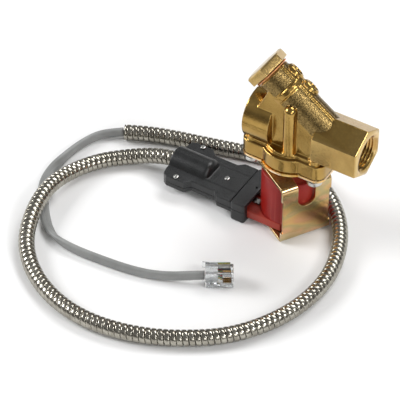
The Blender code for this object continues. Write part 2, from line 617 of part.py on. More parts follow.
cut(body, rod(CHAMBER_RADIUS, FLANGE_BOTTOM - 2, CHAMBER_TOP))
join(body, rod(SEAT_RADIUS, SEAT_LEVEL, CHAMBER_TOP + 1, 32))
for end, inward in ((INLET_END, -1), (OUTLET_END, 1)):
    profile = [(0, -2), (SOCKET_RADIUS, -2), (SOCKET_RADIUS - SOCKET_TAPER, SOCKET_DEPTH), (0, SOCKET_DEPTH)]
    cut(body, turned(profile, 36, (end, 0, PORT_HEIGHT), (inward, 0, 0)))
cut(
    body,
    rod(INLET_PASSAGE, -BARREL_START, STRAINER_START + 2, 24, barrel_base, BARREL_AXIS),
    rod(STRAINER_BORE, STRAINER_START, BARREL_LENGTH + 2, 32, barrel_base, BARREL_AXIS),
    rod(CAP_THREAD_RADIUS + GAP, BARREL_LENGTH - CAP_THREAD_LENGTH - 1, BARREL_LENGTH + 2, 32, barrel_base,
        BARREL_AXIS),
    rod(OUTLET_PASSAGE, OUTLET_END + SOCKET_DEPTH - 1, SEAT_BORE + SLAB_DROP, 24, port_base, (1, 0, 0)),
    rod(SEAT_BORE, SEAT_LEVEL - 1, PORT_HEIGHT, 24),
    rod(BLEED_RADIUS, CHAMBER_TOP - 1, barrel_height(BLEED_X) - 2, 16, (BLEED_X, 0, 0)),
)

# ---------------------------------------------------------------- bonnet plate, screws and armature tube

plate = thing("bonnet_plate", prism(ears, PLATE_BOTTOM, PLATE_TOP), DICHROMATE, body_axis)
join(plate, rod(BULGE_RADIUS + PLATE_LIP, PLATE_BOTTOM, PLATE_TOP, 48))
cut(plate, rod(TUBE_RADIUS + GAP, PLATE_BOTTOM - 1, PLATE_TOP + 1, 32))
screw_end = FLANGE_BOTTOM + SCREW_GRIP
head_top = PLATE_BOTTOM - GAP
head_bottom = head_top - SCREW_HEAD_HEIGHT
for number, (side_x, side_y) in enumerate(((-1, -1), (1, -1), (1, 1), (-1, 1)), 1):
    place = (side_x * SCREW_X, side_y * SCREW_Y, 0)
    profile = [(0, head_bottom), (SCREW_HEAD_RADIUS - SCREW_EDGE, head_bottom)]
    profile += [(SCREW_HEAD_RADIUS, head_bottom + SCREW_EDGE)]
    profile += [(SCREW_HEAD_RADIUS, head_top), (SCREW_RADIUS, head_top)]
    profile += [(SCREW_RADIUS, screw_end), (0, screw_end)]
    screw = thing(f"bonnet_screw_{number}", turned(profile, SMALL_ROUND, place), ZINC, body_axis)
    cut(screw, rod(SCREW_SOCKET_RADIUS, head_bottom - 1, head_bottom + SCREW_SOCKET_DEPTH, 6, place))
    cut(plate, rod(SCREW_RADIUS + GAP, PLATE_BOTTOM - 1, PLATE_TOP + 1, SMALL_ROUND, place))
    cut(body, rod(SCREW_RADIUS + GAP, FLANGE_BOTTOM - 1, screw_end + HOLE_BOTTOM, SMALL_ROUND, place))

neck_low = YOKE_HEIGHT - SHEET - NECK_MARGIN
neck_high = YOKE_HEIGHT + NECK_MARGIN
rim_low = PLATE_TOP + GAP
tube_profile = [
    (0, TUBE_BOTTOM), (TUBE_RADIUS, TUBE_BOTTOM), (TUBE_RADIUS, neck_low), (NECK_RADIUS, neck_low),
    (NECK_RADIUS, neck_high), (TUBE_RADIUS, neck_high), (TUBE_RADIUS, rim_low), (TUBE_INSIDE, rim_low),
    (TUBE_INSIDE, TUBE_BOTTOM + TUBE_FLOOR), (0, TUBE_BOTTOM + TUBE_FLOOR),
]
thing("armature_tube", turned(tube_profile, 36), STAINLESS, body_axis)
groove_in, groove_out, groove_deep = SHADING_GROOVE
groove_low = CORE_TOP - groove_deep
core_profile = [(0, CORE_BOTTOM), (PLUNGER_RADIUS, CORE_BOTTOM), (PLUNGER_RADIUS, CORE_TOP)]
core_profile += [(groove_out, CORE_TOP), (groove_out, groove_low), (groove_in, groove_low)]
core_profile += [(groove_in, CORE_TOP), (0, CORE_TOP)]
thing("fixed_core", turned(core_profile, 28), MAGNET_STEEL, body_axis)
shading = ring(groove_in + SHADING_INSET, groove_out - SHADING_INSET, groove_low + GAP, CORE_TOP - 0.1, 28)
thing("shading_ring", shading, COPPER, body_axis)

# ---------------------------------------------------------------- plunger, diaphragm

plunger_axis = empty("plunger_axis", (0, 0, PLUNGER_BOTTOM), parent=body_axis)
diaphragm_axis = empty("diaphragm_axis", (0, 0, SEAT_LEVEL), parent=body_axis)
disc_top = SEAT_LEVEL - GAP
support_top = disc_top - DIAPHRAGM_THICK - GAP
support_bottom = support_top - SUPPORT_THICK
plunger_top = support_bottom - GAP
pocket_top = PLUNGER_BOTTOM + SPRING_POCKET_DEPTH
seal_bore = SEAL_RADIUS + GAP
seal_floor = plunger_top - SEAL_HEIGHT


def lowered(points, height):
    return [(radius, z - height) for radius, z in points]


plunger_profile = [
    (SPRING_POCKET, PLUNGER_BOTTOM), (PLUNGER_RADIUS, PLUNGER_BOTTOM),
    (PLUNGER_RADIUS, plunger_top - POPPET_TAPER), (POPPET_RADIUS, plunger_top), (seal_bore, plunger_top),
    (seal_bore, seal_floor), (0, seal_floor), (0, pocket_top), (SPRING_POCKET, pocket_top),
]
thing("plunger", turned(lowered(plunger_profile, PLUNGER_BOTTOM), 28), MAGNET_STEEL, plunger_axis)
seal_low = seal_floor + GAP
seal = [(0, seal_low), (SEAL_RADIUS, seal_low), (SEAL_RADIUS, plunger_top), (0, plunger_top)]
thing("plunger_seal", turned(lowered(seal, PLUNGER_BOTTOM), 20), RUBBER, plunger_axis)
spring_low = CORE_TOP + GAP + SPRING_WIRE / 2
spring_high = pocket_top - GAP - SPRING_WIRE / 2
spring_radius = SPRING_POCKET - GAP - SPRING_WIRE / 2
coil_steps = SPRING_TURNS * 12
spring_curve = bpy.data.curves.new("plunger_spring", "CURVE")
spring_curve.dimensions = "3D"
spring_curve.bevel_depth = SPRING_WIRE / 2 * MM
spring_curve.bevel_resolution = 1
spring_curve.use_fill_caps = True
line = spring_curve.splines.new("POLY")
line.points.add(coil_steps)
for step in range(coil_steps + 1):
    turn = 2 * math.pi * SPRING_TURNS * step / coil_steps
    height = spring_low + (spring_high - spring_low) * step / coil_steps - PLUNGER_BOTTOM
    place = (spring_radius * math.cos(turn), spring_radius * math.sin(turn), height)
    line.points[step].co = (*(value * MM for value in place), 1.0)
spring_curve.materials.append(STAINLESS)
spring = bpy.data.objects.new("plunger_spring", spring_curve)
bpy.context.scene.collection.objects.link(spring)
spring.parent = plunger_axis

rim_outer = CHAMBER_RADIUS - GAP
rim_high = rim_low + DIAPHRAGM_RIM
disc_low = disc_top - DIAPHRAGM_THICK
disc_edge, rim_inner, rim_top_inner, disc_top_edge = DIAPHRAGM_CONVOLUTION
diaphragm_profile = [
    (PILOT_HOLE, disc_low), (disc_edge, disc_low), (rim_inner, rim_low), (rim_outer, rim_low),
    (rim_outer, rim_high), (rim_top_inner, rim_high), (disc_top_edge, disc_top), (PILOT_HOLE, disc_top),
]
thing("diaphragm", turned(lowered(diaphragm_profile, SEAT_LEVEL), 40), RUBBER, diaphragm_axis)
support = ring(PILOT_HOLE, SUPPORT_RADIUS, support_bottom - SEAT_LEVEL, support_top - SEAT_LEVEL, 32)
thing("diaphragm_support", support, NATURAL_PLASTIC, diaphragm_axis)

# ---------------------------------------------------------------- strainer cap, gasket and screen

tilt = Vector((0, 0, 1)).rotation_difference(BARREL_AXIS).to_matrix().to_4x4()
cap_place = Vector(barrel_base) + BARREL_AXIS * BARREL_LENGTH
cap_axis = empty("cap_axis", cap_place, tilt, body_axis)
cap_low = 2 * GAP + GASKET_THICK
cap = thing("strainer_cap", hexagon(CAP_FLATS, cap_low, cap_low + CAP_HEIGHT, CAP_CHAMFER), BRASS, cap_axis)
join(cap, rod(CAP_THREAD_RADIUS, -CAP_THREAD_LENGTH, cap_low + 1, 32))
cap_hollow = CAP_THREAD_RADIUS - CAP_WALL
cut(cap, rod(cap_hollow, -CAP_THREAD_LENGTH - 1, CAP_HOLLOW_TOP, 24))
gasket = ring(CAP_THREAD_RADIUS + GAP, CAP_FLATS / 2 - 0.1, GAP, GAP + GASKET_THICK)
thing("cap_gasket", gasket, GASKET_FIBRE, cap_axis)
screen_outer = cap_hollow - GAP
screen_low = STRAINER_START + SCREEN_CLEARANCE - BARREL_LENGTH
screen_high = CAP_HOLLOW_TOP - 2 * GAP
screen = ring(screen_outer - SCREEN_WALL, screen_outer, screen_low, screen_high, 28)
thing("strainer_screen", screen, STAINLESS, cap_axis)

# ---------------------------------------------------------------- conduit, cable and plug


def smooth_path(points, spacing):
    """Points at an even spacing along a natural cubic spline through the given ones."""
    points = np.array(points, float)
    count = len(points)
    knots = np.concatenate([[0.0], np.cumsum(np.linalg.norm(np.diff(points[:, :3], axis=0), axis=1))])
    gaps = np.diff(knots)
    system = np.eye(count)
    right = np.zeros_like(points)
    for row in range(1, count - 1):
        system[row, row - 1:row + 2] = gaps[row - 1], 2 * (gaps[row - 1] + gaps[row]), gaps[row]
        after = (points[row + 1] - points[row]) / gaps[row]
        before = (points[row] - points[row - 1]) / gaps[row - 1]
        right[row] = 6 * (after - before)
    bend = np.linalg.solve(system, right)
    places = []
    for value in np.linspace(0.0, knots[-1], round(knots[-1] / spacing) + 1):
        row = min(int(np.searchsorted(knots, value, side="right")) - 1, count - 2)
        near, far, gap = knots[row + 1] - value, value - knots[row], gaps[row]
        curve = (bend[row] * near**3 + bend[row + 1] * far**3) / (6 * gap)
        line_part = (points[row] / gap - bend[row] * gap / 6) * near
        line_part = line_part + (points[row + 1] / gap - bend[row + 1] * gap / 6) * far
        places.append(curve + line_part)
    return np.array(places)


def cord(name, path, depth, finish, extrude=0.0):
    """A tube, or a flat cord where extrude is given, along a path of x, y, z and tilt in degrees."""
    curve = bpy.data.curves.new(name, "CURVE")
    curve.dimensions = "3D"
    curve.twist_mode = "Z_UP"
    curve.bevel_depth = depth * MM
    curve.bevel_resolution = 2
    curve.extrude = extrude * MM
    curve.use_fill_caps = True
    spline = curve.splines.new("POLY")
    spline.points.add(len(path) - 1)
    for point, place in zip(spline.points, path):
        point.co = (*(place[:3] * MM), 1.0)
        if len(place) > 3:
            point.tilt = math.radians(place[3])
    curve.materials.append(finish)
    made = bpy.data.objects.new(name, curve)
    bpy.context.scene.collection.objects.link(made)
    return made


conduit_path = smooth_path(CONDUIT_ROUTE, 7.8) + np.array([0.0, 0.0, CONDUIT_REST])
cord("conduit", conduit_path, CONDUIT_RADIUS, STAINLESS)
cable_path = smooth_path(CABLE_ROUTE, 5.6)
cord("flat_cable", cable_path, CABLE_THICK / 2, GREY_PVC, (CABLE_WIDTH - CABLE_THICK) / 2)

plug_place = empty("plug_place", (PLUG_X, PLUG_Y, 0), Matrix.Rotation(math.radians(PLUG_ANGLE), 4, "Z"))
plug_half = PLUG_THICK / 2
plug_top = PLUG_REST + PLUG_WIDTH
plug_middle = (PLUG_REST + plug_top) / 2
plug_box = box(0, PLUG_LENGTH, -plug_half, plug_half, PLUG_REST, plug_top)
plug = thing("plug_housing", plug_box, CLEAR_PLASTIC, plug_place)
blade_front = PLUG_LENGTH - BLADE_INSET
blade_back = blade_front - BLADE_LENGTH
for way in range(PLUG_WAYS):
    height = plug_middle + (way - (PLUG_WAYS - 1) / 2) * PLUG_PITCH
    low, high = height - BLADE_THICK / 2, height + BLADE_THICK / 2
    blade_top = BLADE_HEIGHT - plug_half
    blade = box(blade_back, blade_front, GAP - plug_half, blade_top, low, high)
    thing(f"plug_contact_{way + 1}", blade, GOLD, plug_place)
    slot = (low - BLADE_SLOT, high + BLADE_SLOT)
    cut(plug, box(blade_back - GAP, blade_front + GAP, -plug_half - 1, blade_top + GAP, *slot))
pocket_half, pocket_thick = CABLE_WIDTH / 2 + GAP, CABLE_THICK / 2 + GAP
pocket = (-pocket_thick, pocket_thick, plug_middle - pocket_half, plug_middle + pocket_half)
cut(plug, box(-1, CABLE_POCKET, *pocket))
half_thick = LATCH_THICK / 2
latch_root = Vector((PLUG_LENGTH - LATCH_ROOT, plug_half + GAP + half_thick, plug_middle))
latch_turn = Matrix.Rotation(math.radians(PLUG_ANGLE), 4, "Z")
latch_spot = (latch_turn @ latch_root) + Vector((PLUG_X, PLUG_Y, 0))
lean = Matrix.Rotation(math.radians(PLUG_ANGLE + 180.0 - LATCH_ANGLE), 4, "Z")
latch_axis = empty("latch_axis", latch_spot, lean, plug_place)
step_from, step_to, step_end, step_high = LATCH_STEP
latch_outline = [(x, -y) for x, y in arc((0, 0), half_thick, 90, 270)]
latch_outline += [(LATCH_LENGTH, half_thick), (LATCH_LENGTH, 0.2 - half_thick), (step_end, 0.2 - half_thick)]
latch_outline += [(step_to, -half_thick - step_high), (step_from, -half_thick - step_high)]
thing("plug_latch", prism(latch_outline, -LATCH_WIDTH / 2, LATCH_WIDTH / 2), CLEAR_PLASTIC, latch_axis)
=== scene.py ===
"""Looks of the solenoid valve. Shapes are drawn in millimetres and scaled to metres as they are finished."""

import json
import math

import bmesh
import bpy
import numpy as np
from mathutils import Matrix, Vector


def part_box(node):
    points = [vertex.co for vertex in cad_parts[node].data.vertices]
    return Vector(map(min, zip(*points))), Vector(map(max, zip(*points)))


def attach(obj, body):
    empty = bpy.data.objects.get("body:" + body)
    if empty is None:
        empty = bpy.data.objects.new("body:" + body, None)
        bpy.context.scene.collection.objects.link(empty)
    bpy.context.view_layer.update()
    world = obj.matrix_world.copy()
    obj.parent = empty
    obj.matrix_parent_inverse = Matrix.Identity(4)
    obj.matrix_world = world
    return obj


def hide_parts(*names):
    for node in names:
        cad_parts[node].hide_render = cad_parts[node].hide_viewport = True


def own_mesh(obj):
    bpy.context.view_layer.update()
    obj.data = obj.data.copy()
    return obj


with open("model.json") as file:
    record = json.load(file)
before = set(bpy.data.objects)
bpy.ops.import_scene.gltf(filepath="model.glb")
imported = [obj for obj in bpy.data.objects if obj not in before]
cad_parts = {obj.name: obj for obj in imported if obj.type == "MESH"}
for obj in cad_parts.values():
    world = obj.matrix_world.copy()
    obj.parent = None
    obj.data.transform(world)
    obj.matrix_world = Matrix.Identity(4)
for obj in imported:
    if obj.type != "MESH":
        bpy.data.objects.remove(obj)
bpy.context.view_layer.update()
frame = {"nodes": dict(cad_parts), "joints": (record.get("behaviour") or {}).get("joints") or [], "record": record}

MM = 0.001
CAMERA_TARGET = (-39.3, -13.35, 0.0)
CAMERA_AZIMUTH = 32.0
CAMERA_ELEVATION = 43.5
CAMERA_DISTANCE = 950.0
CAMERA_LENS = 187.9
CAMERA_SENSOR = 36.0

# The cords' routes, in metres, with the flat cable's turn about its line in degrees
CONDUIT_ROUTE = [
    (-0.05, -0.0036, 0.008), (-0.06, -0.0036, 0.008), (-0.0702, -0.0056, 0.0064),
    (-0.0806, -0.0104, 0.0043), (-0.0896, -0.0186, 0.0038), (-0.096, -0.031, 0.0046),
    (-0.0982, -0.047, 0.0065), (-0.0954, -0.0638, 0.0065), (-0.0886, -0.0795, 0.0046),
    (-0.0782, -0.0909, 0.00375), (-0.065, -0.0992, 0.00375), (-0.0512, -0.1038, 0.00375),
    (-0.0366, -0.1049, 0.00375), (-0.0219, -0.1026, 0.00375), (-0.0076, -0.0975, 0.00375),
    (0.0048, -0.0904, 0.00375), (0.016, -0.0816, 0.00375), (0.0246, -0.0708, 0.00375),
    (0.031, -0.0584, 0.00375), (0.035, -0.044, 0.00375), (0.0355, -0.0272, 0.00375),
    (0.0312, -0.0105, 0.00375), (0.024, 0.0028, 0.00375), (0.0147, 0.0132, 0.00375),
    (0.003, 0.0212, 0.00375), (-0.01, 0.0252, 0.00375), (-0.024, 0.0244, 0.00375),
    (-0.0374, 0.0214, 0.00375), (-0.05, 0.018, 0.00375), (-0.062, 0.0148, 0.00375),
    (-0.0734, 0.0116, 0.00375), (-0.084, 0.0076, 0.00375), (-0.0916, 0.0039, 0.00375),
]
CABLE_ROUTE = [
    (-0.092, 0.0037, 0.00375, 0.0), (-0.097, 0.001, 0.0028, 0.0), (-0.1014, -0.0034, 0.0025, 0.0),
    (-0.104, -0.0094, 0.0025, 0.0), (-0.1057, -0.0164, 0.0025, 0.0), (-0.1066, -0.0248, 0.0024, 15.0),
    (-0.1069, -0.0334, 0.0019, 55.0), (-0.1053, -0.042, 0.0013, 90.0), (-0.1012, -0.0492, 0.0013, 90.0),
    (-0.0962, -0.0558, 0.0013, 90.0), (-0.0906, -0.0622, 0.0014, 85.0), (-0.0842, -0.0676, 0.0019, 55.0),
    (-0.0764, -0.0708, 0.0024, 15.0), (-0.0668, -0.0717, 0.0025, 0.0), (-0.055, -0.071, 0.0025, 0.0),
    (-0.0424, -0.0696, 0.0025, 0.0), (-0.0306, -0.0668, 0.0026, 0.0), (-0.0202, -0.0626, 0.0036, 0.0),
    (-0.0134, -0.0592, 0.0047, 0.0), (-0.0097, -0.0569, 0.0048, 0.0),
]
CONDUIT_RADIUS = 3.65
CONDUIT_PITCH = 2.6
CONDUIT_GROOVE = 0.7
CONDUIT_CREST = 0.81
CONDUIT_CROWN = 0.13
CONDUIT_SIDES = 40
CONDUIT_SAMPLES = 16
CABLE_WIDTH = 4.8
CABLE_THICK = 2.4
CABLE_RIB = 0.10
CABLE_STEP = 0.8


# ---------------------------------------------------------------- materials


def shader_of(name):
    made = bpy.data.materials.new(name)
    made.use_nodes = True
    tree = made.node_tree
    return made, tree, tree.nodes["Principled BSDF"]


def node(tree, kind, inputs=(), **settings):
    """A node with its settings made, its sockets filled or linked."""
    made = tree.nodes.new(kind)
    for key, value in settings.items():
        setattr(made, key, value)
    for socket, value in dict(inputs).items():
        if isinstance(value, bpy.types.NodeSocket):
            tree.links.new(value, made.inputs[socket])
        else:
            made.inputs[socket].default_value = value
    return made


def place_of(tree):
    return node(tree, "ShaderNodeTexCoord").outputs["Object"]


def noise(tree, size, detail=3.0, stretch=None):
    """Noise whose blotches are about size millimetres across, drawn out by stretch along each axis."""
    where = place_of(tree)
    if stretch:
        where = node(tree, "ShaderNodeMapping", {"Vector": where, "Scale": stretch}).outputs["Vector"]
    made = node(tree, "ShaderNodeTexNoise", {"Vector": where, "Scale": 1.0 / (size * MM), "Detail": detail})
    return made.outputs["Fac"]


def ramp(tree, factor, colours):
    """A colour ramp through (position, colour) stops."""
    made = node(tree, "ShaderNodeValToRGB", {"Fac": factor})
    stops = made.color_ramp.elements
    stops[0].position, stops[-1].position = colours[0][0], colours[-1][0]
    stops[0].color, stops[-1].color = (*colours[0][1], 1.0), (*colours[-1][1], 1.0)
    for position, colour in colours[1:-1]:
        stops.new(position).color = (*colour, 1.0)
    return made.outputs["Color"]


def spread(tree, factor, low, high, from_low=0.3, from_high=0.7):
    """A number that follows factor between low and high."""
    inputs = {"Value": factor, "From Min": from_low, "From Max": from_high, "To Min": low, "To Max": high}
    return node(tree, "ShaderNodeMapRange", inputs).outputs["Result"]


def blended(tree, share, colour, other):
    """A colour that turns into the other by a share."""
    mixed = node(tree, "ShaderNodeMix", data_type="RGBA")
    tree.links.new(share, mixed.inputs["Factor"])
    tree.links.new(colour, mixed.inputs["A"])
    mixed.inputs["B"].default_value = (*other, 1.0)
    return mixed.outputs["Result"]


def edge_wear(tree, colour, worn, strength):
    """The worn colour along sharp outer edges."""
    pointed = node(tree, "ShaderNodeNewGeometry").outputs["Pointiness"]
    return blended(tree, spread(tree, pointed, 0.0, strength, 0.52, 0.60), colour, worn)


def painted_crevice_shade(tree, colour, crevice_shade, strength):
    """Painted shade: the colour darkened towards a shade colour in grooves and inner corners."""
    pointed = node(tree, "ShaderNodeNewGeometry").outputs["Pointiness"]
    return blended(tree, spread(tree, pointed, strength, 0.0, 0.41, 0.49), colour, crevice_shade)


def bumped(tree, shader, height, distance, strength=1.0):
    made = node(tree, "ShaderNodeBump", {"Height": height, "Distance": distance * MM, "Strength": strength})
    tree.links.new(made.outputs["Normal"], shader.inputs["Normal"])


def surface(
    name, dark, light, rough, metallic=0.0, blotch=6.0, grain=0.5, grain_depth=0.02, worn=None, wear=0.5,
    stretch=None, crevice_shade=None, shade_strength=0.9, **sockets,
):
    """A mottled surface: colour between dark and light, roughness between rough's two values, fine grain."""
    made, tree, shader = shader_of(name)
    shader.inputs["Metallic"].default_value = metallic
    for socket, value in sockets.items():
        shader.inputs[socket.replace("_", " ")].default_value = value
    broad = noise(tree, blotch, 4.0, stretch)
    colour = ramp(tree, broad, [(0.3, dark), (0.7, light)])
    if worn:
        colour = edge_wear(tree, colour, worn, wear)
    # painted shade: grooves and inner corners darkened towards the given crevice colour
    if crevice_shade:
        colour = painted_crevice_shade(tree, colour, crevice_shade, shade_strength)
    tree.links.new(colour, shader.inputs["Base Color"])
    fine = noise(tree, grain, 5.0, stretch)
    tree.links.new(spread(tree, fine, *rough), shader.inputs["Roughness"])
    bumped(tree, shader, fine, grain_depth)
    return made


def chromate(name, stops, size, rough):
    """Zinc plate under a thin chromate film, whose colour drifts like oil on water."""
    made, tree, shader = shader_of(name)
    shader.inputs["Metallic"].default_value = 0.92
    drift = noise(tree, size, 1.5, (1.0, 1.0, 1.7))
    colour = edge_wear(tree, ramp(tree, drift, stops), (0.92, 0.84, 0.66), 0.85)
    tree.links.new(colour, shader.inputs["Base Color"])
    fine = noise(tree, 0.4, 4.0)
    tree.links.new(spread(tree, fine, *rough), shader.inputs["Roughness"])
    bumped(tree, shader, fine, 0.008)
    return made


def clear_plastic(name):
    made, tree, shader = shader_of(name)
    shader.inputs["IOR"].default_value = 1.49
    shader.inputs["Transmission Weight"].default_value = 1.0
    tint = ramp(tree, noise(tree, 4.0), [(0.3, (0.93, 0.95, 0.96)), (0.7, (0.98, 0.99, 0.99))])
    tree.links.new(tint, shader.inputs["Base Color"])
    fine = noise(tree, 1.2, 3.0)
    tree.links.new(spread(tree, fine, 0.0, 0.04), shader.inputs["Roughness"])
    bumped(tree, shader, fine, 0.006)
    return made


# The three brass finishes get a dark reddish brown painted shade in their grooves and inner corners.
BRASS = surface(
    "forged_brass", (0.34, 0.205, 0.054), (0.50, 0.325, 0.098), (0.13, 0.26), 1.0, 9.0, 0.9, 0.03,
    (0.86, 0.64, 0.30), 0.75, crevice_shade=(0.13, 0.045, 0.012),
)
BRASS_GRAINED = surface(
    "grained_brass", (0.12, 0.077, 0.025), (0.36, 0.25, 0.098), (0.18, 0.36), 1.0, 0.7, 0.5, 0.13,
    (0.86, 0.66, 0.32), 0.6, crevice_shade=(0.10, 0.04, 0.012),
)
BRASS_CUT = surface(
    "machined_brass", (0.46, 0.27, 0.085), (0.60, 0.38, 0.14), (0.12, 0.22), 1.0, 3.0, 0.5, 0.01,
    (0.86, 0.66, 0.32), 0.5, crevice_shade=(0.12, 0.045, 0.015),
)
YELLOW_ZINC = chromate(
    "yoke_chromate",
    [(0.28, (0.64, 0.29, 0.16)), (0.40, (0.58, 0.29, 0.10)), (0.49, (0.60, 0.37, 0.10)),
     (0.57, (0.41, 0.33, 0.12)), (0.66, (0.64, 0.36, 0.16)), (0.76, (0.64, 0.28, 0.18))],
    13.0, (0.14, 0.24),
)
ORANGE_ZINC = chromate(
    "plate_chromate",
    [(0.3, (0.74, 0.30, 0.04)), (0.5, (0.82, 0.42, 0.06)), (0.7, (0.80, 0.54, 0.14))], 8.0, (0.22, 0.32),
)
ZINC = surface("bright_zinc", (0.50, 0.50, 0.48), (0.68, 0.68, 0.66), (0.16, 0.28), 1.0, 2.0, 0.3, 0.01)
# Tin for the terminals, coloured much darker than bright tin as painted shade, since they sit in shadow.
TIN_WITH_PAINTED_SHADE = surface("tin_with_painted_shade", (0.22, 0.22, 0.21), (0.34, 0.34, 0.32), (0.3, 0.4), 1.0, 2.0, 0.3, 0.01)
STAINLESS = surface("stainless", (0.52, 0.51, 0.49), (0.66, 0.65, 0.62), (0.18, 0.32), 1.0, 3.0, 0.3, 0.008)
# Near-black painted shade fills the conduit's winding groove, so the groove shows as a dark line.
CONDUIT_STEEL = surface(
    "conduit_steel", (0.27, 0.25, 0.21), (0.46, 0.44, 0.38), (0.14, 0.28), 1.0, 3.0, 0.5, 0.015,
    (0.80, 0.78, 0.72), 0.4, crevice_shade=(0.035, 0.028, 0.02), shade_strength=1.0,
)
COPPER = surface("copper", (0.66, 0.32, 0.16), (0.82, 0.46, 0.26), (0.26, 0.40), 1.0, 1.5, 0.3, 0.02)
RED_RESIN = surface(
    "red_resin", (0.27, 0.008, 0.006), (0.34, 0.013, 0.009), (0.30, 0.40), 0.0, 11.0, 0.6, 0.02,
    (0.60, 0.12, 0.08), 0.45, Specular_IOR_Level=0.3,
)
BLACK_PLASTIC = surface(
    "black_plastic", (0.008, 0.009, 0.009), (0.020, 0.021, 0.022), (0.24, 0.42), 0.0, 7.0, 0.28, 0.05,
    (0.09, 0.09, 0.09), 0.35,
)
RUBBER = surface("rubber", (0.014, 0.014, 0.014), (0.03, 0.03, 0.03), (0.6, 0.8), 0.0, 2.0, 0.4, 0.03)
GASKET = surface("gasket_fibre", (0.62, 0.25, 0.09), (0.80, 0.36, 0.15), (0.42, 0.6), 0.3, 1.4, 0.3, 0.03)
NATURAL = surface("natural_plastic", (0.72, 0.70, 0.62), (0.82, 0.80, 0.72), (0.4, 0.5), 0.0, 4.0, 0.4, 0.01)
CLEAR = clear_plastic("clear_plastic")
GREY_PVC = surface(
    "grey_pvc", (0.23, 0.235, 0.23), (0.30, 0.305, 0.30), (0.36, 0.50), 0.0, 9.0, 0.35, 0.02,
    (0.42, 0.42, 0.42), 0.3,
)
GOLD = surface("gold_contact", (0.74, 0.42, 0.12), (0.90, 0.58, 0.22), (0.16, 0.28), 1.0, 1.0, 0.2, 0.004)
CORE_STEEL = surface("core_steel", (0.46, 0.46, 0.47), (0.58, 0.58, 0.60), (0.28, 0.42), 1.0, 2.0, 0.25, 0.01)


# ---------------------------------------------------------------- drawing


def turned(profile, segments=64, base=(0, 0, 0), axis=(0, 0, 1), phase=0.0):
    """A closed profile of (radius, height) points, turned about an axis through base."""
    mesh = bmesh.new()
    turn = Vector((0, 0, 1)).rotation_difference(Vector(axis))
    here = Matrix.Translation(base) @ turn.to_matrix().to_4x4()
    rings = []
    for radius, height in profile:
        if radius < 1e-6:
            rings.append([mesh.verts.new(here @ Vector((0, 0, height)))])
            continue
        angles = [phase + 2 * math.pi * step / segments for step in range(segments)]
        places = [Vector((radius * math.cos(a), radius * math.sin(a), height)) for a in angles]
        rings.append([mesh.verts.new(here @ place) for place in places])
    for low, high in zip(rings, rings[1:] + rings[:1]):
        for step in range(segments):
            after = (step + 1) % segments
            corners = [low[step % len(low)], low[after % len(low)]]
            corners += [high[after % len(high)], high[step % len(high)]]
            corners = list(dict.fromkeys(corners))
            if len(corners) > 2:
                mesh.faces.new(corners)
    return mesh


def rod(radius, low, high, segments=64, base=(0, 0, 0), axis=(0, 0, 1), phase=0.0):
    return turned([(0, low), (radius, low), (radius, high), (0, high)], segments, base, axis, phase)


def box(x0, x1, y0, y1, z0, z1):
    mesh = bmesh.new()
    bmesh.ops.create_cube(mesh, size=1.0)
    bmesh.ops.scale(mesh, vec=(x1 - x0, y1 - y0, z1 - z0), verts=mesh.verts)
    bmesh.ops.translate(mesh, vec=((x0 + x1) / 2, (y0 + y1) / 2, (z0 + z1) / 2), verts=mesh.verts)
    return mesh


def prism(outline, low, high, place=lambda u, v, w: (u, v, w)):
    """An outline in two directions, extruded along the third."""
    mesh = bmesh.new()
    bottom = [mesh.verts.new(place(u, v, low)) for u, v in outline]
    top = [mesh.verts.new(place(u, v, high)) for u, v in outline]
    mesh.faces.new(bottom)
    mesh.faces.new(top)
    for step in range(len(outline)):
        after = (step + 1) % len(outline)
        mesh.faces.new([bottom[step], bottom[after], top[after], top[step]])
    return mesh


def across_y(u, v, w):
    return (u, w, v)


def across_x(u, v, w):
    return (w, u, v)


def arc(centre, radius, start, end, steps=8):
    angles = [math.radians(start + (end - start) * step / steps) for step in range(steps + 1)]
    return [(centre[0] + radius * math.cos(a), centre[1] + radius * math.sin(a)) for a in angles]


def rounded_rectangle(half_u, half_v, radius):
    u, v = half_u - radius, half_v - radius
    corners = [((u, v), 0), ((-u, v), 90), ((-u, -v), 180), ((u, -v), 270)]
    return [point for centre, start in corners for point in arc(centre, radius, start, start + 90)]


def moved(mesh, matrix):
    bmesh.ops.transform(mesh, matrix=matrix, verts=mesh.verts)
    return mesh


def draft(name, *meshes):
    """One object, still in millimetres, that holds these closed meshes."""
    data = bpy.data.meshes.new(name)
    whole = bmesh.new()
    for mesh in meshes:
        bmesh.ops.remove_doubles(mesh, verts=mesh.verts, dist=1e-5)
        bmesh.ops.recalc_face_normals(mesh, faces=mesh.faces)
        mesh.to_mesh(data)
        whole.from_mesh(data)
        mesh.free()
    whole.to_mesh(data)
    whole.free()
    made = bpy.data.objects.new(name, data)
    bpy.context.scene.collection.objects.link(made)
    return made


def settle(piece):
    """Applies the piece's modifiers to its mesh."""
    bpy.context.view_layer.update()
    graph = bpy.context.evaluated_depsgraph_get()
    data = bpy.data.meshes.new_from_object(piece.evaluated_get(graph))
    piece.modifiers.clear()
    old = piece.data
    piece.data = data
    bpy.data.meshes.remove(old)
    return piece


def combine(piece, operation, tool):
    """Cuts or joins another object, which is then removed."""
    modifier = piece.modifiers.new("combine", "BOOLEAN")
    modifier.operation = operation
    modifier.solver = "MANIFOLD"
    modifier.object = tool
    settle(piece)
    bpy.data.objects.remove(tool)


def cut(piece, *meshes):
    for mesh in meshes:
        combine(piece, "DIFFERENCE", draft("tool", mesh))


def join(piece, *meshes):
    for mesh in meshes:
        combine(piece, "UNION", draft("tool", mesh))


def melted(piece, voxel, rounds, factor=0.5):
    """Overlapping shapes flowed into one skin, with soft fillets."""
    remesh = piece.modifiers.new("remesh", "REMESH")
    remesh.mode = "VOXEL"
    remesh.voxel_size = voxel
    smooth = piece.modifiers.new("smooth", "SMOOTH")
    smooth.iterations = rounds
    smooth.factor = factor
    return settle(piece)


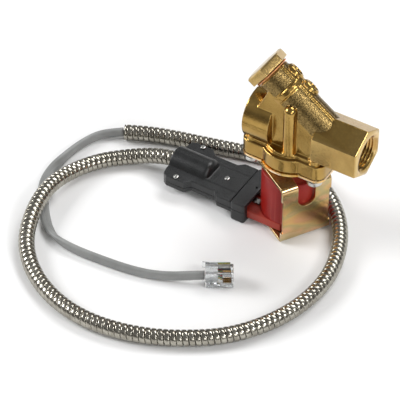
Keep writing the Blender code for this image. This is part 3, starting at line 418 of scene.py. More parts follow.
def bevelled(piece, width, segments=2, angle=35.0):
    modifier = piece.modifiers.new("bevel", "BEVEL")
    modifier.width = width
    modifier.segments = segments
    modifier.limit_method = "ANGLE"
    modifier.angle_limit = math.radians(angle)
    modifier.miter_outer = "MITER_ARC"
    return settle(piece)


def finished(piece, finish, body, nodes=(), sharp=38.0):
    """Scales the piece to metres, shades it, and hands it to its body in place of its CAD nodes."""
    data = piece.data
    data.transform(Matrix.Scale(MM, 4))
    if not any(data.materials):
        data.materials.clear()
        data.materials.append(finish)
    data.shade_smooth()
    if sharp:
        data.set_sharp_from_angle(angle=math.radians(sharp))
    data.update()
    weigh = piece.modifiers.new("weigh", "WEIGHTED_NORMAL")
    weigh.keep_sharp = True
    settle(piece)
    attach(piece, body)
    if nodes:
        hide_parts(*nodes)
    return piece


def limits(name):
    """Lowest and highest corner of a CAD node, in millimetres."""
    low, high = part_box(name)
    return low / MM, high / MM


# ---------------------------------------------------------------- camera and cords


def make_camera():
    azimuth, elevation = math.radians(CAMERA_AZIMUTH), math.radians(CAMERA_ELEVATION)
    level = math.cos(elevation)
    back = Vector((math.sin(azimuth) * level, -math.cos(azimuth) * level, math.sin(elevation)))
    data = bpy.data.cameras.new("camera")
    data.lens = CAMERA_LENS
    data.sensor_width = CAMERA_SENSOR
    data.clip_start, data.clip_end = 0.05, 20.0
    camera = bpy.data.objects.new("camera", data)
    bpy.context.scene.collection.objects.link(camera)
    camera.location = (Vector(CAMERA_TARGET) + back * CAMERA_DISTANCE) * MM
    camera.rotation_mode = "QUATERNION"
    camera.rotation_quaternion = (-back).to_track_quat("-Z", "Y")
    bpy.context.scene.camera = camera


def smooth_path(points, spacing):
    """Points at an even spacing along a natural cubic spline through the given ones."""
    points = np.array(points, float)
    count = len(points)
    knots = np.concatenate([[0.0], np.cumsum(np.linalg.norm(np.diff(points[:, :3], axis=0), axis=1))])
    gaps = np.diff(knots)
    matrix = np.eye(count)
    right = np.zeros_like(points)
    for row in range(1, count - 1):
        matrix[row, row - 1:row + 2] = gaps[row - 1], 2 * (gaps[row - 1] + gaps[row]), gaps[row]
        after = (points[row + 1] - points[row]) / gaps[row]
        before = (points[row] - points[row - 1]) / gaps[row - 1]
        right[row] = 6 * (after - before)
    bend = np.linalg.solve(matrix, right)
    places = []
    for value in np.linspace(0.0, knots[-1], round(knots[-1] / spacing) + 1):
        row = min(int(np.searchsorted(knots, value, side="right")) - 1, count - 2)
        near, far, gap = knots[row + 1] - value, value - knots[row], gaps[row]
        curve = (bend[row] * near**3 + bend[row + 1] * far**3) / (6 * gap)
        line_part = (points[row] / gap - bend[row] * gap / 6) * near
        line_part = line_part + (points[row + 1] / gap - bend[row + 1] * gap / 6) * far
        places.append(curve + line_part)
    return np.array(places)


def swept(name, path, section):
    """A tube along a path in metres. section gives points across and up from it at a distance and a turn."""
    ways = np.gradient(path[:, :3], axis=0)
    ways /= np.linalg.norm(ways, axis=1)[:, None]
    travelled = np.concatenate([[0.0], np.cumsum(np.linalg.norm(np.diff(path[:, :3], axis=0), axis=1))])
    mesh = bmesh.new()
    rings = []
    for spot, way, travel in zip(path, ways, travelled):
        side = np.cross(way, (0.0, 0.0, 1.0))
        side /= np.linalg.norm(side)
        up = np.cross(side, way)
        turn = math.radians(spot[3]) if len(spot) > 3 else 0.0
        across = [spot[:3] + (u * side + v * up) * MM for u, v in section(travel / MM, turn)]
        rings.append([mesh.verts.new(place) for place in across])
    for low, high in zip(rings, rings[1:]):
        for step in range(len(low)):
            after = (step + 1) % len(low)
            mesh.faces.new([low[step], low[after], high[after], high[step]])
    mesh.faces.new(rings[0])
    mesh.faces.new(rings[-1])
    bmesh.ops.recalc_face_normals(mesh, faces=mesh.faces)
    data = bpy.data.meshes.new(name)
    mesh.to_mesh(data)
    mesh.free()
    data.shade_smooth()
    made = bpy.data.objects.new(name, data)
    bpy.context.scene.collection.objects.link(made)
    return made


def conduit_section(travel, _turn):
    """A ring of the wound strip: a crowned crest, and a narrow groove that winds round."""
    points = []
    for step in range(CONDUIT_SIDES):
        angle = 2 * math.pi * step / CONDUIT_SIDES
        phase = (travel / CONDUIT_PITCH + step / CONDUIT_SIDES) % 1.0
        if phase < CONDUIT_CREST:
            drop = CONDUIT_CROWN * (2 * phase / CONDUIT_CREST - 1) ** 2
        else:
            into = (phase - CONDUIT_CREST) / (1 - CONDUIT_CREST)
            drop = CONDUIT_CROWN + CONDUIT_GROOVE * math.sin(math.pi * into)
        radius = CONDUIT_RADIUS - drop
        points.append((radius * math.cos(angle), radius * math.sin(angle)))
    return points


def cable_section(_travel, turn):
    """A flat section with round edges and a shallow groove between each two of its four conductors."""
    half, thick = CABLE_WIDTH / 2, CABLE_THICK / 2
    straight = half - thick
    points = []
    for sign, start in ((1, -90), (-1, 90)):
        points += arc((sign * straight, 0), thick, start, start + 180, 12)
        for step in range(1, 12):
            along = sign * straight * (1 - 2 * step / 12)
            dip = CABLE_RIB * (0.5 + 0.5 * math.cos(2 * math.pi * along / straight))
            points.append((along, sign * (thick - dip)))
    long_way = math.pi / 2 - turn
    cos, sin = math.cos(long_way), math.sin(long_way)
    return [(u * cos - v * sin, u * sin + v * cos) for u, v in points]


def make_cords():
    conduit_path = smooth_path(CONDUIT_ROUTE, CONDUIT_PITCH * MM / CONDUIT_SAMPLES)
    conduit = swept("conduit_strip", conduit_path, conduit_section)
    conduit.data.materials.append(CONDUIT_STEEL)
    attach(conduit, "root")
    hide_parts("conduit")
    cable_path = smooth_path(CABLE_ROUTE, CABLE_STEP * MM)
    cable = swept("flat_cable_sheath", cable_path, cable_section)
    cable.data.materials.append(GREY_PVC)
    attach(cable, "root")
    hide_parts("flat_cable")
    return cable, cable_path, conduit_path


make_camera()
CABLE, CABLE_PATH, CONDUIT_PATH = make_cords()

# ---------------------------------------------------------------- sizes read from the frame

record = frame["record"]
joints = {joint["name"]: joint for joint in frame["joints"]}
mounts = {mount["name"]: Vector(mount["pos_m"]) / MM for mount in record["mounts"]}
BARREL_AXIS = Vector(joints["cap_turn"]["axis"])
BARREL_END = Vector(joints["cap_turn"]["pos_m"]) / MM
INLET_END = mounts["inlet_face"].x
OUTLET_END = mounts["outlet_face"].x
PORT_HEIGHT = 54.5
FLANGE_BOTTOM = limits("valve_body")[0].z
FLANGE_THICK = 7.3
FLANGE_TOP = FLANGE_BOTTOM + FLANGE_THICK
PLATE_BOTTOM, PLATE_TOP = limits("bonnet_plate")[0].z, limits("bonnet_plate")[1].z
YOKE_HEIGHT = limits("yoke_frame")[1].z
YOKE_SHEET = 1.5
BARREL_LENGTH = 41.6
BARREL_ROOT = BARREL_END - BARREL_AXIS * BARREL_LENGTH
BARREL_RADIUS = 7.7
BARREL_SLOPE = -BARREL_AXIS.z / BARREL_AXIS.x
SLAB_HALF, SLAB_LEFT, SLAB_SHOULDER, SLAB_RIGHT = 8.0, -14.0, -8.0, 17.5
SCREW_X, SCREW_Y = 15.6, 7.4
SOCKET_RADIUS, SOCKET_DEPTH, SOCKET_LEAD = 8.2, 11.5, 0.9
SOCKET_CHAMFER, SOCKET_STEP, SOCKET_TAPER = 0.7, 0.1, 0.03
THREAD_PITCH = 1.41
THREAD_DEPTH = 0.65
EAR_LENGTH, EAR_WIDTH, EAR_CORNER = 20.5, 10.8, 4.5
TIER_HEIGHT = 1.7
FLANGE_RADIUS, TIER_RADIUS, BOSS_RADIUS = 13.8, 12.0, 12.2
RIDGE_PROUD, RIDGE_HALF = 0.5, 0.75
BAND_PROUD, BAND_START, BAND_END = 0.6, 30.5, 33.0
PAD_RADIUS, PAD_ROUND, PAD_PLACES, PAD_AXIS = 4.3, 1.4, (26.0, 35.5), (0.45, 0.62, 0.64)
PILOT_RADIUS, PILOT_X, PILOT_PROUD, PILOT_TOP = 3.0, 3.2, 0.6, 69.0
HEXAGON_FLATS, HEXAGON_START, HEXAGON_CHAMFER = 21.4, 14.5, (0.8, 1.6)
CHAMBER_RADIUS, CHAMBER_DEPTH = 10.5, 5.8
INLET_BORE, SCREEN_BORE, CAP_BORE = 4.6, 5.6, 6.5
OUTLET_BORE, SEAT_BORE, SCREW_BORE, PLATE_SCREW_BORE = 4.8, 3.0, 1.75, 1.9
SCREW_BOSS_RADIUS, SCREW_BOSS_HEIGHT = 2.6, 2.2
FORGING_VOXEL, FORGING_ROUNDS = ((0.28, 7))
SCREW_PLACES = [(x, y, 0) for x in (-SCREW_X, SCREW_X) for y in (-SCREW_Y, SCREW_Y)]


# ---------------------------------------------------------------- valve body


def threaded_cutter(end, inward):
    """A tapered socket whose wall is grooved like a pipe thread."""
    mouth, wall = SOCKET_RADIUS + SOCKET_CHAMFER, SOCKET_RADIUS - SOCKET_STEP
    profile = [(0, -2), (mouth, -2), (mouth, 0.0), (wall, SOCKET_LEAD)]
    start = SOCKET_LEAD
    while start + THREAD_PITCH < SOCKET_DEPTH:
        radius = wall - SOCKET_TAPER * start
        root = radius - THREAD_DEPTH
        profile += [(root, start + THREAD_PITCH * 0.42), (root, start + THREAD_PITCH * 0.55)]
        profile += [(radius, start + THREAD_PITCH * 0.95), (radius, start + THREAD_PITCH)]
        start += THREAD_PITCH
    profile += [(profile[-1][0], SOCKET_DEPTH), (0, SOCKET_DEPTH)]
    return turned(profile, 72, (end, 0, PORT_HEIGHT), (inward, 0, 0))


def barrel_height(x):
    return BARREL_ROOT.z + (BARREL_ROOT.x - x) * BARREL_SLOPE


def barrel_ridge():
    """The thin ridge along the barrel's parting line."""
    ridge = rod(BARREL_RADIUS + RIDGE_PROUD, 3.0, BARREL_LENGTH, 64, BARREL_ROOT, BARREL_AXIS)
    for side in (-1, 1):
        whole = ridge.verts[:] + ridge.edges[:] + ridge.faces[:]
        edge, outwards = (0, side * RIDGE_HALF, 0), (0, side, 0)
        bmesh.ops.bisect_plane(ridge, geom=whole, plane_co=edge, plane_no=outwards, clear_outer=True)
    bmesh.ops.holes_fill(ridge, edges=ridge.edges[:])
    return ridge


def make_valve_body():
    port = (0, 0, PORT_HEIGHT)
    along_x = (1, 0, 0)
    ears = rounded_rectangle(EAR_LENGTH, EAR_WIDTH, EAR_CORNER)
    tier = rounded_rectangle(EAR_LENGTH - 2.6, EAR_WIDTH - 1.3, EAR_CORNER - 1.0)
    tier_bottom, tier_top = FLANGE_TOP - 1, FLANGE_TOP + TIER_HEIGHT
    foot = FLANGE_TOP - 2
    slab = [(SLAB_LEFT, foot), (SLAB_RIGHT, foot), (SLAB_RIGHT, barrel_height(SLAB_RIGHT) - 0.7)]
    slab += [(SLAB_SHOULDER, barrel_height(SLAB_SHOULDER) - 0.7), (SLAB_LEFT, PORT_HEIGHT + 8.0)]
    pilot = [(0, foot), (PILOT_RADIUS, foot)] + arc((0, PILOT_TOP), PILOT_RADIUS, 0, 90, 10)
    boss_top = FLANGE_TOP + SCREW_BOSS_HEIGHT
    shapes = [
        prism(ears, FLANGE_BOTTOM, FLANGE_TOP),
        rod(FLANGE_RADIUS, FLANGE_BOTTOM, FLANGE_TOP, 96),
        prism(tier, tier_bottom, tier_top),
        rod(TIER_RADIUS, tier_bottom, tier_top, 96),
        prism(slab, -SLAB_HALF, SLAB_HALF, across_y),
        rod(BOSS_RADIUS, OUTLET_END, -6.0, 96, port, along_x),
        *[rod(SCREW_BOSS_RADIUS, tier_bottom, boss_top, 32, place) for place in SCREW_PLACES],
        rod(BARREL_RADIUS, 4.0, BARREL_LENGTH, 96, BARREL_ROOT, BARREL_AXIS),
        rod(BARREL_RADIUS + BAND_PROUD, BAND_START, BAND_END, 96, BARREL_ROOT, BARREL_AXIS),
        turned(pilot, 40, (PILOT_X, -SLAB_HALF - PILOT_PROUD, 0)),
        barrel_ridge(),
    ]
    pad = [(0, 0), (PAD_RADIUS, 0), (PAD_RADIUS, BARREL_RADIUS)]
    pad += arc((PAD_RADIUS - PAD_ROUND, BARREL_RADIUS), PAD_ROUND, 0, 90, 5)
    for along in PAD_PLACES:
        shapes.append(turned(pad, 40, BARREL_ROOT + BARREL_AXIS * along, PAD_AXIS))
    piece = draft("valve_body_casting", *shapes)
    melted(piece, FORGING_VOXEL, FORGING_ROUNDS)
    corner = HEXAGON_FLATS / math.sqrt(3)
    along, inward = HEXAGON_CHAMFER
    bar = [(0, HEXAGON_START), (corner, HEXAGON_START), (corner, INLET_END - along)]
    bar += [(corner - inward, INLET_END), (0, INLET_END)]
    combine(piece, "UNION", bevelled(draft("bar", turned(bar, 6, port, along_x)), 0.45, 3))
    cut(
        piece,
        rod(CHAMBER_RADIUS, FLANGE_BOTTOM - 2, FLANGE_BOTTOM + CHAMBER_DEPTH),
        threaded_cutter(INLET_END, -1),
        threaded_cutter(OUTLET_END, 1),
        rod(INLET_BORE, -4.0, 16.0, 40, BARREL_ROOT, BARREL_AXIS),
        rod(SCREEN_BORE, 14.0, BARREL_LENGTH + 2, 48, BARREL_ROOT, BARREL_AXIS),
        rod(CAP_BORE, BARREL_LENGTH - 9, BARREL_LENGTH + 2, 48, BARREL_ROOT, BARREL_AXIS),
        rod(OUTLET_BORE, OUTLET_END + 10, 3.7, 40, port, along_x),
        rod(SEAT_BORE, FLANGE_BOTTOM + 5, PORT_HEIGHT, 40),
        *[rod(SCREW_BORE, FLANGE_BOTTOM - 1, FLANGE_TOP + 3, 32, place) for place in SCREW_PLACES],
    )
    grain_barrel(piece)
    finished(piece, BRASS, "valve", ["valve_body"], 50.0)


def grain_barrel(piece):
    """Gives the barrel's sides the rough as-forged finish, and the sockets the machined one."""
    data = piece.data
    data.materials.clear()
    for finish in (BRASS, BRASS_GRAINED, BRASS_CUT):
        data.materials.append(finish)
    for face in data.polygons:
        centre = Vector(face.center)
        along = (centre - BARREL_ROOT).dot(BARREL_AXIS)
        from_axis = (centre - BARREL_ROOT - BARREL_AXIS * along).length
        from_port = math.hypot(centre.y, centre.z - PORT_HEIGHT)
        face.material_index = 0
        on_barrel = abs(from_axis - BARREL_RADIUS) < 0.35 and 3.0 < along < BARREL_LENGTH - 0.6
        if on_barrel and not BAND_START - 0.7 < along < BAND_END + 0.8 and abs(centre.y) > 2 * RIDGE_HALF:
            face.material_index = 1
        near_mouth = centre.x > INLET_END - 12 or centre.x < OUTLET_END + 12
        if near_mouth and from_port < SOCKET_RADIUS + 0.8 and from_axis > BARREL_RADIUS:
            face.material_index = 2


make_valve_body()


# ---------------------------------------------------------------- cap, gasket, plate, screws, tube


def make_cap():
    """The hexagonal cap with its hollow spigot, and the fibre ring under it."""
    flats, low, high = 17.5, 1.4, 5.7
    spigot, hollow, reach = 6.2, 4.6, 8.0
    corner = flats / math.sqrt(3)
    profile = [(0, low), (corner, low), (corner, high - 0.6), (corner - 1.0, high), (0, high)]
    tilt = Vector((0, 0, 1)).rotation_difference(BARREL_AXIS).to_matrix().to_4x4()
    here = Matrix.Translation(BARREL_END) @ tilt
    cap = bevelled(draft("strainer_cap_hexagon", moved(turned(profile, 6), here)), 0.28, 2)
    cap.data.materials.append(BRASS)
    join(cap, moved(rod(spigot, -reach, low + 1, 48), here))
    cut(cap, moved(rod(hollow, -reach - 1, -1.5, 40), here))
    finished(cap, BRASS, "cap", ["strainer_cap"])
    edge = flats / 2 - 0.45
    ring = [(CAP_BORE, 0.4), (edge - 0.2, 0.4), (edge, 0.5), (edge, 0.85), (edge - 0.2, 1.0), (CAP_BORE, 1.0)]
    gasket = draft("cap_gasket_ring", moved(turned(ring, 72), here))
    finished(gasket, GASKET, "cap_slide", ["cap_gasket"])


def make_plate():
    outline = rounded_rectangle(EAR_LENGTH, EAR_WIDTH, EAR_CORNER)
    bottom, top = PLATE_BOTTOM - 1, PLATE_TOP + 1
    plate = draft("bonnet_plate_sheet", prism(outline, PLATE_BOTTOM, PLATE_TOP))
    join(plate, rod(FLANGE_RADIUS + 0.5, PLATE_BOTTOM, PLATE_TOP, 96))
    cut(plate, rod(5.2, bottom, top, 48))
    cut(plate, *[rod(PLATE_SCREW_BORE, bottom, top, 32, place) for place in SCREW_PLACES])
    bevelled(plate, 0.25, 3)
    finished(plate, ORANGE_ZINC, "valve", ["bonnet_plate"])


def make_screws():
    """Socket-headed screws, each with a thread of plain grooves."""
    head_radius, head_round, shank_radius, root, pitch = 3.7, 1.0, 1.6, 1.32, 0.5
    low = limits("bonnet_screw_1")[0].z
    top = PLATE_BOTTOM - 0.3
    tip = FLANGE_TOP + 1.9
    for number, (side_x, side_y) in enumerate(((-1, -1), (1, -1), (1, 1), (-1, 1)), 1):
        here = (side_x * SCREW_X, side_y * SCREW_Y, 0)
        profile = [(0, low)] + arc((head_radius - head_round, low + head_round), head_round, -90, 0, 6)
        profile += [(head_radius, top), (shank_radius, top)]
        thread = []
        height = top
        while height < tip - 1.2:
            thread += [(root, height), (shank_radius, height + pitch / 2)]
            height += pitch
        profile += thread[1:] + [(shank_radius, tip - 0.4), (1.2, tip), (0, tip)]
        screw = draft(f"bonnet_screw_{number}_turned", turned(profile, 40, here))
        cut(screw, rod(1.5, low - 1, low + 1.3, 6, here))
        finished(screw, ZINC, "valve", [f"bonnet_screw_{number}"])


def make_tube():
    """The drawn tube, with the waist that the yoke's top leaf sits round."""
    low, high = limits("armature_tube")
    radius, neck, bore, lip = high.x, 4.0, 3.6, 0.2
    waist_bottom, waist_top = YOKE_HEIGHT - YOKE_SHEET - 0.6, YOKE_HEIGHT + 0.6
    profile = [(0, low.z), (radius, low.z), (radius, waist_bottom - 0.3), (radius - lip, waist_bottom)]
    profile += [(neck, waist_bottom), (neck, waist_top), (radius - lip, waist_top), (radius, waist_top + 0.3)]
    profile += [(radius, high.z), (bore, high.z), (bore, low.z + 0.8), (0, low.z + 0.8)]
    tube = draft("armature_tube_drawn", turned(profile, 64))
    finished(tube, STAINLESS, "valve", ["armature_tube"])


make_cap()
make_plate()
make_screws()
make_tube()


# ---------------------------------------------------------------- yoke and coil

YOKE_TURN = Matrix.Rotation(math.radians(-32.0), 4, "Z")


def make_yoke():
    """One folded strip, open at the sides, slotted at the top and in front, and notched at its edges."""
    sheet, bend, reach, face = YOKE_SHEET, 2.2, 8.4, 15.0
    half, slot, notch, notch_low, notch_high = 12.2, 4.3, 0.9, 5.5, 24.5
    inner, inner_bend = face - sheet, bend - sheet
    outline = [(-reach, 0.0)] + arc((face - bend, bend), bend, -90, 0)
    outline += arc((face - bend, YOKE_HEIGHT - bend), bend, 0, 90)
    outline += [(-reach, YOKE_HEIGHT), (-reach, YOKE_HEIGHT - sheet)]
    outline += arc((inner - inner_bend, YOKE_HEIGHT - sheet - inner_bend), inner_bend, 90, 0, 5)
    outline += arc((inner - inner_bend, sheet + inner_bend), inner_bend, 0, -90, 5)
    outline += [(-reach, sheet)]
    yoke = draft("yoke_frame_strip", prism(outline, -half, half, across_y))
    floor = YOKE_HEIGHT - 12.9 + slot
    front = arc((0, floor), slot, 180, 360, 24) + [(slot, YOKE_HEIGHT + 2), (-slot, YOKE_HEIGHT + 2)]
    top = arc((0, 0), slot, 90, 270, 24) + [(face + 2, -slot), (face + 2, slot)]
    cut(
        yoke,
        prism(front, inner - 1, face + 1, across_x),
        prism(top, YOKE_HEIGHT - sheet - 1, YOKE_HEIGHT + 1),
        box(inner - inner_bend, face + 1, -half - 2, notch - half, notch_low, notch_high),
        box(inner - inner_bend, face + 1, half - notch, half + 2, notch_low, notch_high),
    )
    bevelled(yoke, 0.2, 3, 50.0)
    yoke.data.transform(YOKE_TURN)
    finished(yoke, YELLOW_ZINC, "root", ["yoke_frame"])


def make_coil():
    """The moulded cup with the shelf that the connector pushes on, slotted for the two terminals."""
    low, high = limits("coil_shell")
    radius, wall, bore, edge, base, clear = 13.2, 1.6, 5.2, 0.5, 1.5, 0.3
    bottom, top = low.z, high.z
    profile = [(bore, bottom), (radius - edge, bottom), (radius, bottom + edge)]
    profile += arc((radius - edge, top - edge), edge, 0, 90, 4)
    profile += [(radius - wall, top), (radius - wall, bottom + base), (bore, bottom + base)]
    coil = draft("coil_shell_moulding", turned(profile, 128))
    shelf_top = bottom + 4.2
    shelf = bevelled(draft("shelf", box(low.x, -8.0, low.y, 6.25, bottom, shelf_top)), 0.5, 3)
    rim = bevelled(draft("rim", box(-9.0, 3.0, low.y, low.y + 3.6, bottom, shelf_top)), 0.5, 3)
    combine(coil, "UNION", shelf)
    combine(coil, "UNION", rim)
    cut(coil, rod(radius - wall, bottom + base, top + 1, 128))
    for name in ("coil_terminal_1", "coil_terminal_2"):
        start, end = limits(name)
        cut(coil, box(-15.0, -6.8, start.y - clear, end.y + clear, start.z - clear, end.z + clear))
    finished(coil, RED_RESIN, "root", ["coil_shell"])


make_yoke()
make_coil()


# ---------------------------------------------------------------- connector


def make_connector():
    """Two moulded halves round the conduit's ferrule, and the three eyelets that hold them."""
    middle_y = CONDUIT_ROUTE[0][1] / MM
    here = Matrix.Translation((0, middle_y, 0))
    end = limits("connector_upper_shell")[0].x
    front, back = -14.2, -21.6
    bottom, top, parting, gap = 4.0, 10.0, 6.4, 0.15
    ferrule_start, ferrule_end, clear = end + 4.0, end + 9.2, 0.3
    half_outline = [(back, 12.6), (-28.8, 12.6), (-31.4, 10.3), (-43.6, 10.3), (-46.2, 13.2)]
    half_outline += [(end + 2.6, 13.2), (end + 0.8, 12.0), (end, 8.6)]
    outline = half_outline + [(x, -y) for x, y in reversed(half_outline)]
    collar = [(x + (front + back) / 2, y) for x, y in rounded_rectangle((front - back) / 2, 13.0, 1.4)]
    hump_end = end + 20.2
    hump = [(0, end), (7.0, end)] + arc((4.5, hump_end - 2.5), 2.5, 0, 90, 10) + [(0, hump_end)]
    axis, along_x = (0, 0, 8.0), (1, 0, 0)
    voxel, rounds = ((0.24, 5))
    upper = draft(
        "connector_upper_moulding", prism(outline, parting - 2, top), prism(collar, parting - 2, top + 0.4),
        turned(hump, 64, axis, along_x), box(end + 15, back, -6.0, 6.0, top - 1.5, top + 0.25),
    )
    melted(upper, voxel, rounds)
    cut(upper, box(end - 5, 0, -20, 20, -20, parting + gap))
    cut(upper, box(back - 0.35, back + 0.35, -20, 20, top - 0.5, top + 5))
    lower = draft(
        "connector_lower_moulding", prism(outline, bottom, parting + 2), prism(collar, 0.4, parting + 2),
        rod(5.8, end, hump_end, 64, axis, along_x),
    )
    melted(lower, voxel, rounds)
    cut(lower, box(end - 5, 0, -20, 20, parting - gap, 20))
    bore = CONDUIT_RADIUS + clear
    well = (-43.6, -20.0, -8.0, 8.0)
    socket = (-20.3, front + 2, -10.15, 10.15)
    for shell, floor, roof in ((lower, bottom + 0.9, parting + 1), (upper, parting - 1, top - 1.2)):
        cut(
            shell, box(*well, floor, roof), rod(bore, end - 2, hump_end - 2.5, 40, axis, along_x),
            rod(bore + 0.9, ferrule_start - clear, ferrule_end + clear, 40, axis, along_x),
        )
    cut(lower, box(*socket, 1.5, parting + 1))
    cut(upper, box(*socket, parting - 1, top - 1.2), rod(0.6, parting, top + 2, 24, (-16.1, 1.3, 0)))
    spots = ((-50.9, 11.6), (-50.9, -11.6), (-30.6, -0.5))
    for shell in (lower, upper):
        cut(shell, *[rod(1.1, bottom + 0.6, top + 2, 24, (x, y, 0)) for x, y in spots])
        shell.data.transform(here)
    finished(upper, BLACK_PLASTIC, "root", ["connector_upper_shell"], 45.0)
    finished(lower, BLACK_PLASTIC, "root", ["connector_lower_shell"], 45.0)
    for number, (x, y) in enumerate(spots, 1):
        low, high = limits(f"connector_rivet_{number}")
        seat = top + 0.3
        profile = [(0, low.z), (0.8, low.z), (0.8, seat), (1.3, seat), (1.3, seat + 0.2)]
        profile += arc((0.9, high.z - 0.4), 0.4, 0, 90, 4)
        profile += [(0.45, high.z), (0.4, high.z - 0.35), (0, high.z - 0.35)]
        rivet = draft(f"connector_rivet_{number}_eyelet", turned(profile, 32, (x, y + middle_y, 0)))
        finished(rivet, ZINC, "root", [f"connector_rivet_{number}"])


make_connector()


# ---------------------------------------------------------------- plug

PLUG_WAYS = 4
PLUG_CONTACTS = [f"plug_contact_{way}" for way in range(1, PLUG_WAYS + 1)]
PLUG_PLACE = Matrix.Translation((-9.45, -56.75, 0)) @ Matrix.Rotation(math.radians(32.0), 4, "Z")


def make_plug():
    """A modular plug lying on its side, and its latch."""
    half, low, high, long = 3.25, 0.1, 9.75, 12.2
    middle = (low + high) / 2
    housing = bevelled(draft("plug_housing_shell", box(0, long, -half, half, low, high)), 0.35, 3)
    cut(
        housing,
        box(1.1, 7.2, -half - 1, 0.35 - half, low + 0.9, high - 0.9),
        box(1.9, 3.6, -half - 1, -half + 1.7, low + 1.9, high - 1.9),
        box(4.7, 6.4, -half - 1, -half + 1.7, low + 1.9, high - 1.9),
        box(-1, 5.4, -1.5, 1.5, middle - 2.7, middle + 2.7),
        box(long - 1.3, long + 1, half - 1.2, half + 1, low - 1, middle - 1.8),
        box(long - 1.3, long + 1, half - 1.2, half + 1, middle + 1.8, high + 1),
    )
    slots = []
    for contact in PLUG_CONTACTS:
        start, end = limits(contact)
        slots.append(box(7.4, 11.6, -half - 1, 0.25, start.z - 0.17, end.z + 0.17))
    cut(housing, *slots)
    housing.data.transform(PLUG_PLACE)
    finished(housing, CLEAR, "root", ["plug_housing"])
    thick, width, angle = 0.45, 1.6, 13.0
    lean = Matrix.Translation(Vector((long - 1.4, half + 0.3 + thick, middle)))
    lean = PLUG_PLACE @ lean @ Matrix.Rotation(math.radians(180.0 - angle), 4, "Z")
    outline = [(x, -y) for x, y in arc((0, 0), thick, 90, 270)]
    outline += [(12.4, thick), (12.4, 0.2 - thick), (6.2, 0.2 - thick)]
    outline += [(5.2, -thick - 0.5), (3.0, -thick - 0.5)]
    latch = bevelled(draft("plug_latch_tongue", prism(outline, -width, width)), 0.12, 2)
    latch.data.transform(lean)
    finished(latch, CLEAR, "latch", ["plug_latch"])
    return housing


def make_wires():
    """The flat cable's four conductors, bared inside the plug."""
    tints = {
        "yellow": (0.55, 0.42, 0.03), "green": (0.03, 0.22, 0.05), "red": (0.45, 0.02, 0.02),
        "black": (0.02, 0.02, 0.02),
    }
    wires = []
    for contact, (name, tint) in zip(PLUG_CONTACTS, tints.items()):
        low, high = limits(contact)
        height = (low.z + high.z) / 2
        profile = [(0, 5.5), (0.34, 5.5), (0.42, 5.7), (0.42, 10.9), (0.3, 11.1), (0, 11.1)]
        wire = draft(f"plug_wire_{name}", turned(profile, 20, (0, 0.8, height), (1, 0, 0)))
        wire.data.transform(PLUG_PLACE)
        light = tuple(value * 1.4 for value in tint)
        finish = surface(f"{name}_wire", tint, light, (0.3, 0.42), 0.0, 2.0, 0.3, 0.01)
        wires.append(finished(wire, finish, "root"))
    return wires


PLUG = make_plug()
WIRES = make_wires()

# ---------------------------------------------------------------- spring and diaphragm


def make_spring():
    """A coil spring whose turns lie closer together at its two ends."""
    low, high = limits("plunger_spring")
    wire, turns, steps, around = 0.3, 6, 30, 12
    radius = high.x - wire
    rise = high.z - low.z - 2 * wire
    mesh = bmesh.new()
    rings = []
    for step in range(turns * steps + 1):
        share = step / (turns * steps)
        angle = 2 * math.pi * turns * share
        height = low.z + wire + rise * (3 * share**2 - 2 * share**3 + share) / 2
        out = Vector((math.cos(angle), math.sin(angle), 0))
        middle = out * radius + Vector((0, 0, height))
        sides = [2 * math.pi * side / around for side in range(around)]
        places = [middle + wire * (out * math.cos(a) + Vector((0, 0, math.sin(a)))) for a in sides]
        rings.append([mesh.verts.new(place) for place in places])
    for before, after in zip(rings, rings[1:]):
        for side in range(around):
            beside = (side + 1) % around
            mesh.faces.new([before[side], before[beside], after[beside], after[side]])
    mesh.faces.new(rings[0])
    mesh.faces.new(rings[-1])
    spring = finished(draft("plunger_spring_wire", mesh), STAINLESS, "valve", ["plunger_spring"])
    flatten(spring)


def make_diaphragm():
    """A disc with a pilot hole, a convolution round it and a clamped rim."""
    low, high = limits("diaphragm")
    hole, flat, thick, rim = 0.9, 6.6, 1.2, 1.4
    under = high.z - thick
    outline = [(hole, under), (flat, under)] + arc((flat, under - 0.6), 0.6, 90, 40, 3)
    outline += [(8.2, low.z + 0.4), (8.6, low.z), (high.x, low.z), (high.x, low.z + rim), (9.2, low.z + rim)]
    outline += [(7.7, high.z - 0.3), (7.3, high.z), (hole, high.z)]
    disc = bevelled(draft("diaphragm_moulding", turned(outline, 96)), 0.12, 2)
    finished(disc, RUBBER, "valve", ["diaphragm"])
    flatten(disc)


def flatten(piece):
    """Gives the piece a mesh of its own."""
    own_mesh(piece)


make_spring()
make_diaphragm()

# ---------------------------------------------------------------- CAD nodes that stay

KEPT = {
    # the coil terminals take the dark tin, which is painted shade
    "coil_bobbin": RED_RESIN, "coil_winding": COPPER, "coil_terminal_1": TIN_WITH_PAINTED_SHADE, "coil_terminal_2": TIN_WITH_PAINTED_SHADE,
    "connector_contact_1": GOLD, "connector_contact_2": GOLD, "conduit_ferrule": ZINC,
    "fixed_core": CORE_STEEL, "shading_ring": COPPER, "plunger": CORE_STEEL, "plunger_seal": RUBBER,
    "diaphragm_support": NATURAL, "strainer_screen": STAINLESS,
    **{name: GOLD for name in PLUG_CONTACTS},
}
for name, finish in KEPT.items():
    kept = frame["nodes"][name]
    kept.data.materials.clear()
    kept.data.materials.append(finish)


# ---------------------------------------------------------------- studio

LIT_PLACE = Vector((-0.02, -0.03, 0.03))


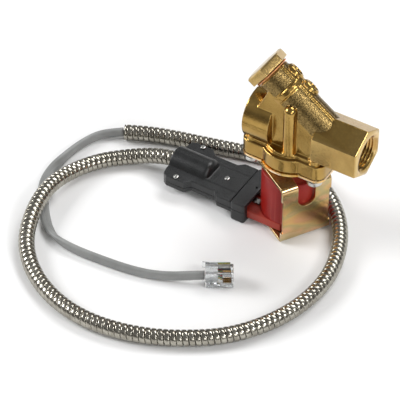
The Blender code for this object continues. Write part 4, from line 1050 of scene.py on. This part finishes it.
def make_floor():
    made, tree, shader = shader_of("floor_paper")
    tint = ramp(tree, noise(tree, 60.0), [(0.3, (0.90, 0.90, 0.90)), (0.7, (0.93, 0.93, 0.93))])
    tree.links.new(tint, shader.inputs["Base Color"])
    shader.inputs["Roughness"].default_value = 0.9
    data = bpy.data.meshes.new("floor")
    size, drop = 4.0, -0.00002
    corners = [(-size, -size, drop), (size, -size, drop), (size, size, drop), (-size, size, drop)]
    data.from_pydata(corners, [], [(0, 1, 2, 3)])
    data.materials.append(made)
    floor = bpy.data.objects.new("floor", data)
    bpy.context.scene.collection.objects.link(floor)


def make_lamp(name, place, size, power):
    """A rectangular lamp that faces the object."""
    data = bpy.data.lights.new(name, "AREA")
    data.shape = "RECTANGLE"
    data.size, data.size_y = size
    data.energy = power
    lamp = bpy.data.objects.new(name, data)
    lamp.location = place
    lamp.rotation_mode = "QUATERNION"
    lamp.rotation_quaternion = (Vector(place) - LIT_PLACE).to_track_quat("Z", "Y")
    bpy.context.scene.collection.objects.link(lamp)


def make_world():
    world = bpy.data.worlds.new("studio")
    bpy.context.scene.world = world
    world.use_nodes = True
    tree = world.node_tree
    way = node(tree, "ShaderNodeTexCoord").outputs["Generated"]
    height = node(tree, "ShaderNodeSeparateXYZ", {"Vector": way}).outputs["Z"]
    colours = [
        (0.0, (0.80, 0.79, 0.77)), (0.06, (0.30, 0.28, 0.26)), (0.35, (0.20, 0.20, 0.20)),
        (0.6, (0.42, 0.42, 0.42)), (1.0, (0.30, 0.30, 0.30)),
    ]
    sky = ramp(tree, height, colours)
    back = tree.nodes["Background"]
    tree.links.new(sky, back.inputs["Color"])
    back.inputs["Strength"].default_value = 0.8


make_floor()
make_lamp("key", (-1.3, -0.5, 0.9), (0.7, 0.7), 17.0)
make_lamp("fill", (1.1, -0.8, 0.7), (0.8, 0.5), 4.0)
make_lamp("rim", (1.0, -0.13, 0.9), (0.35, 0.35), 5.0)
make_lamp("back", (0.1, 0.8, 1.2), (0.9, 0.6), 10.0)
make_world()
bpy.context.scene.view_settings.view_transform = "Standard"
bpy.context.scene.view_settings.look = "None"
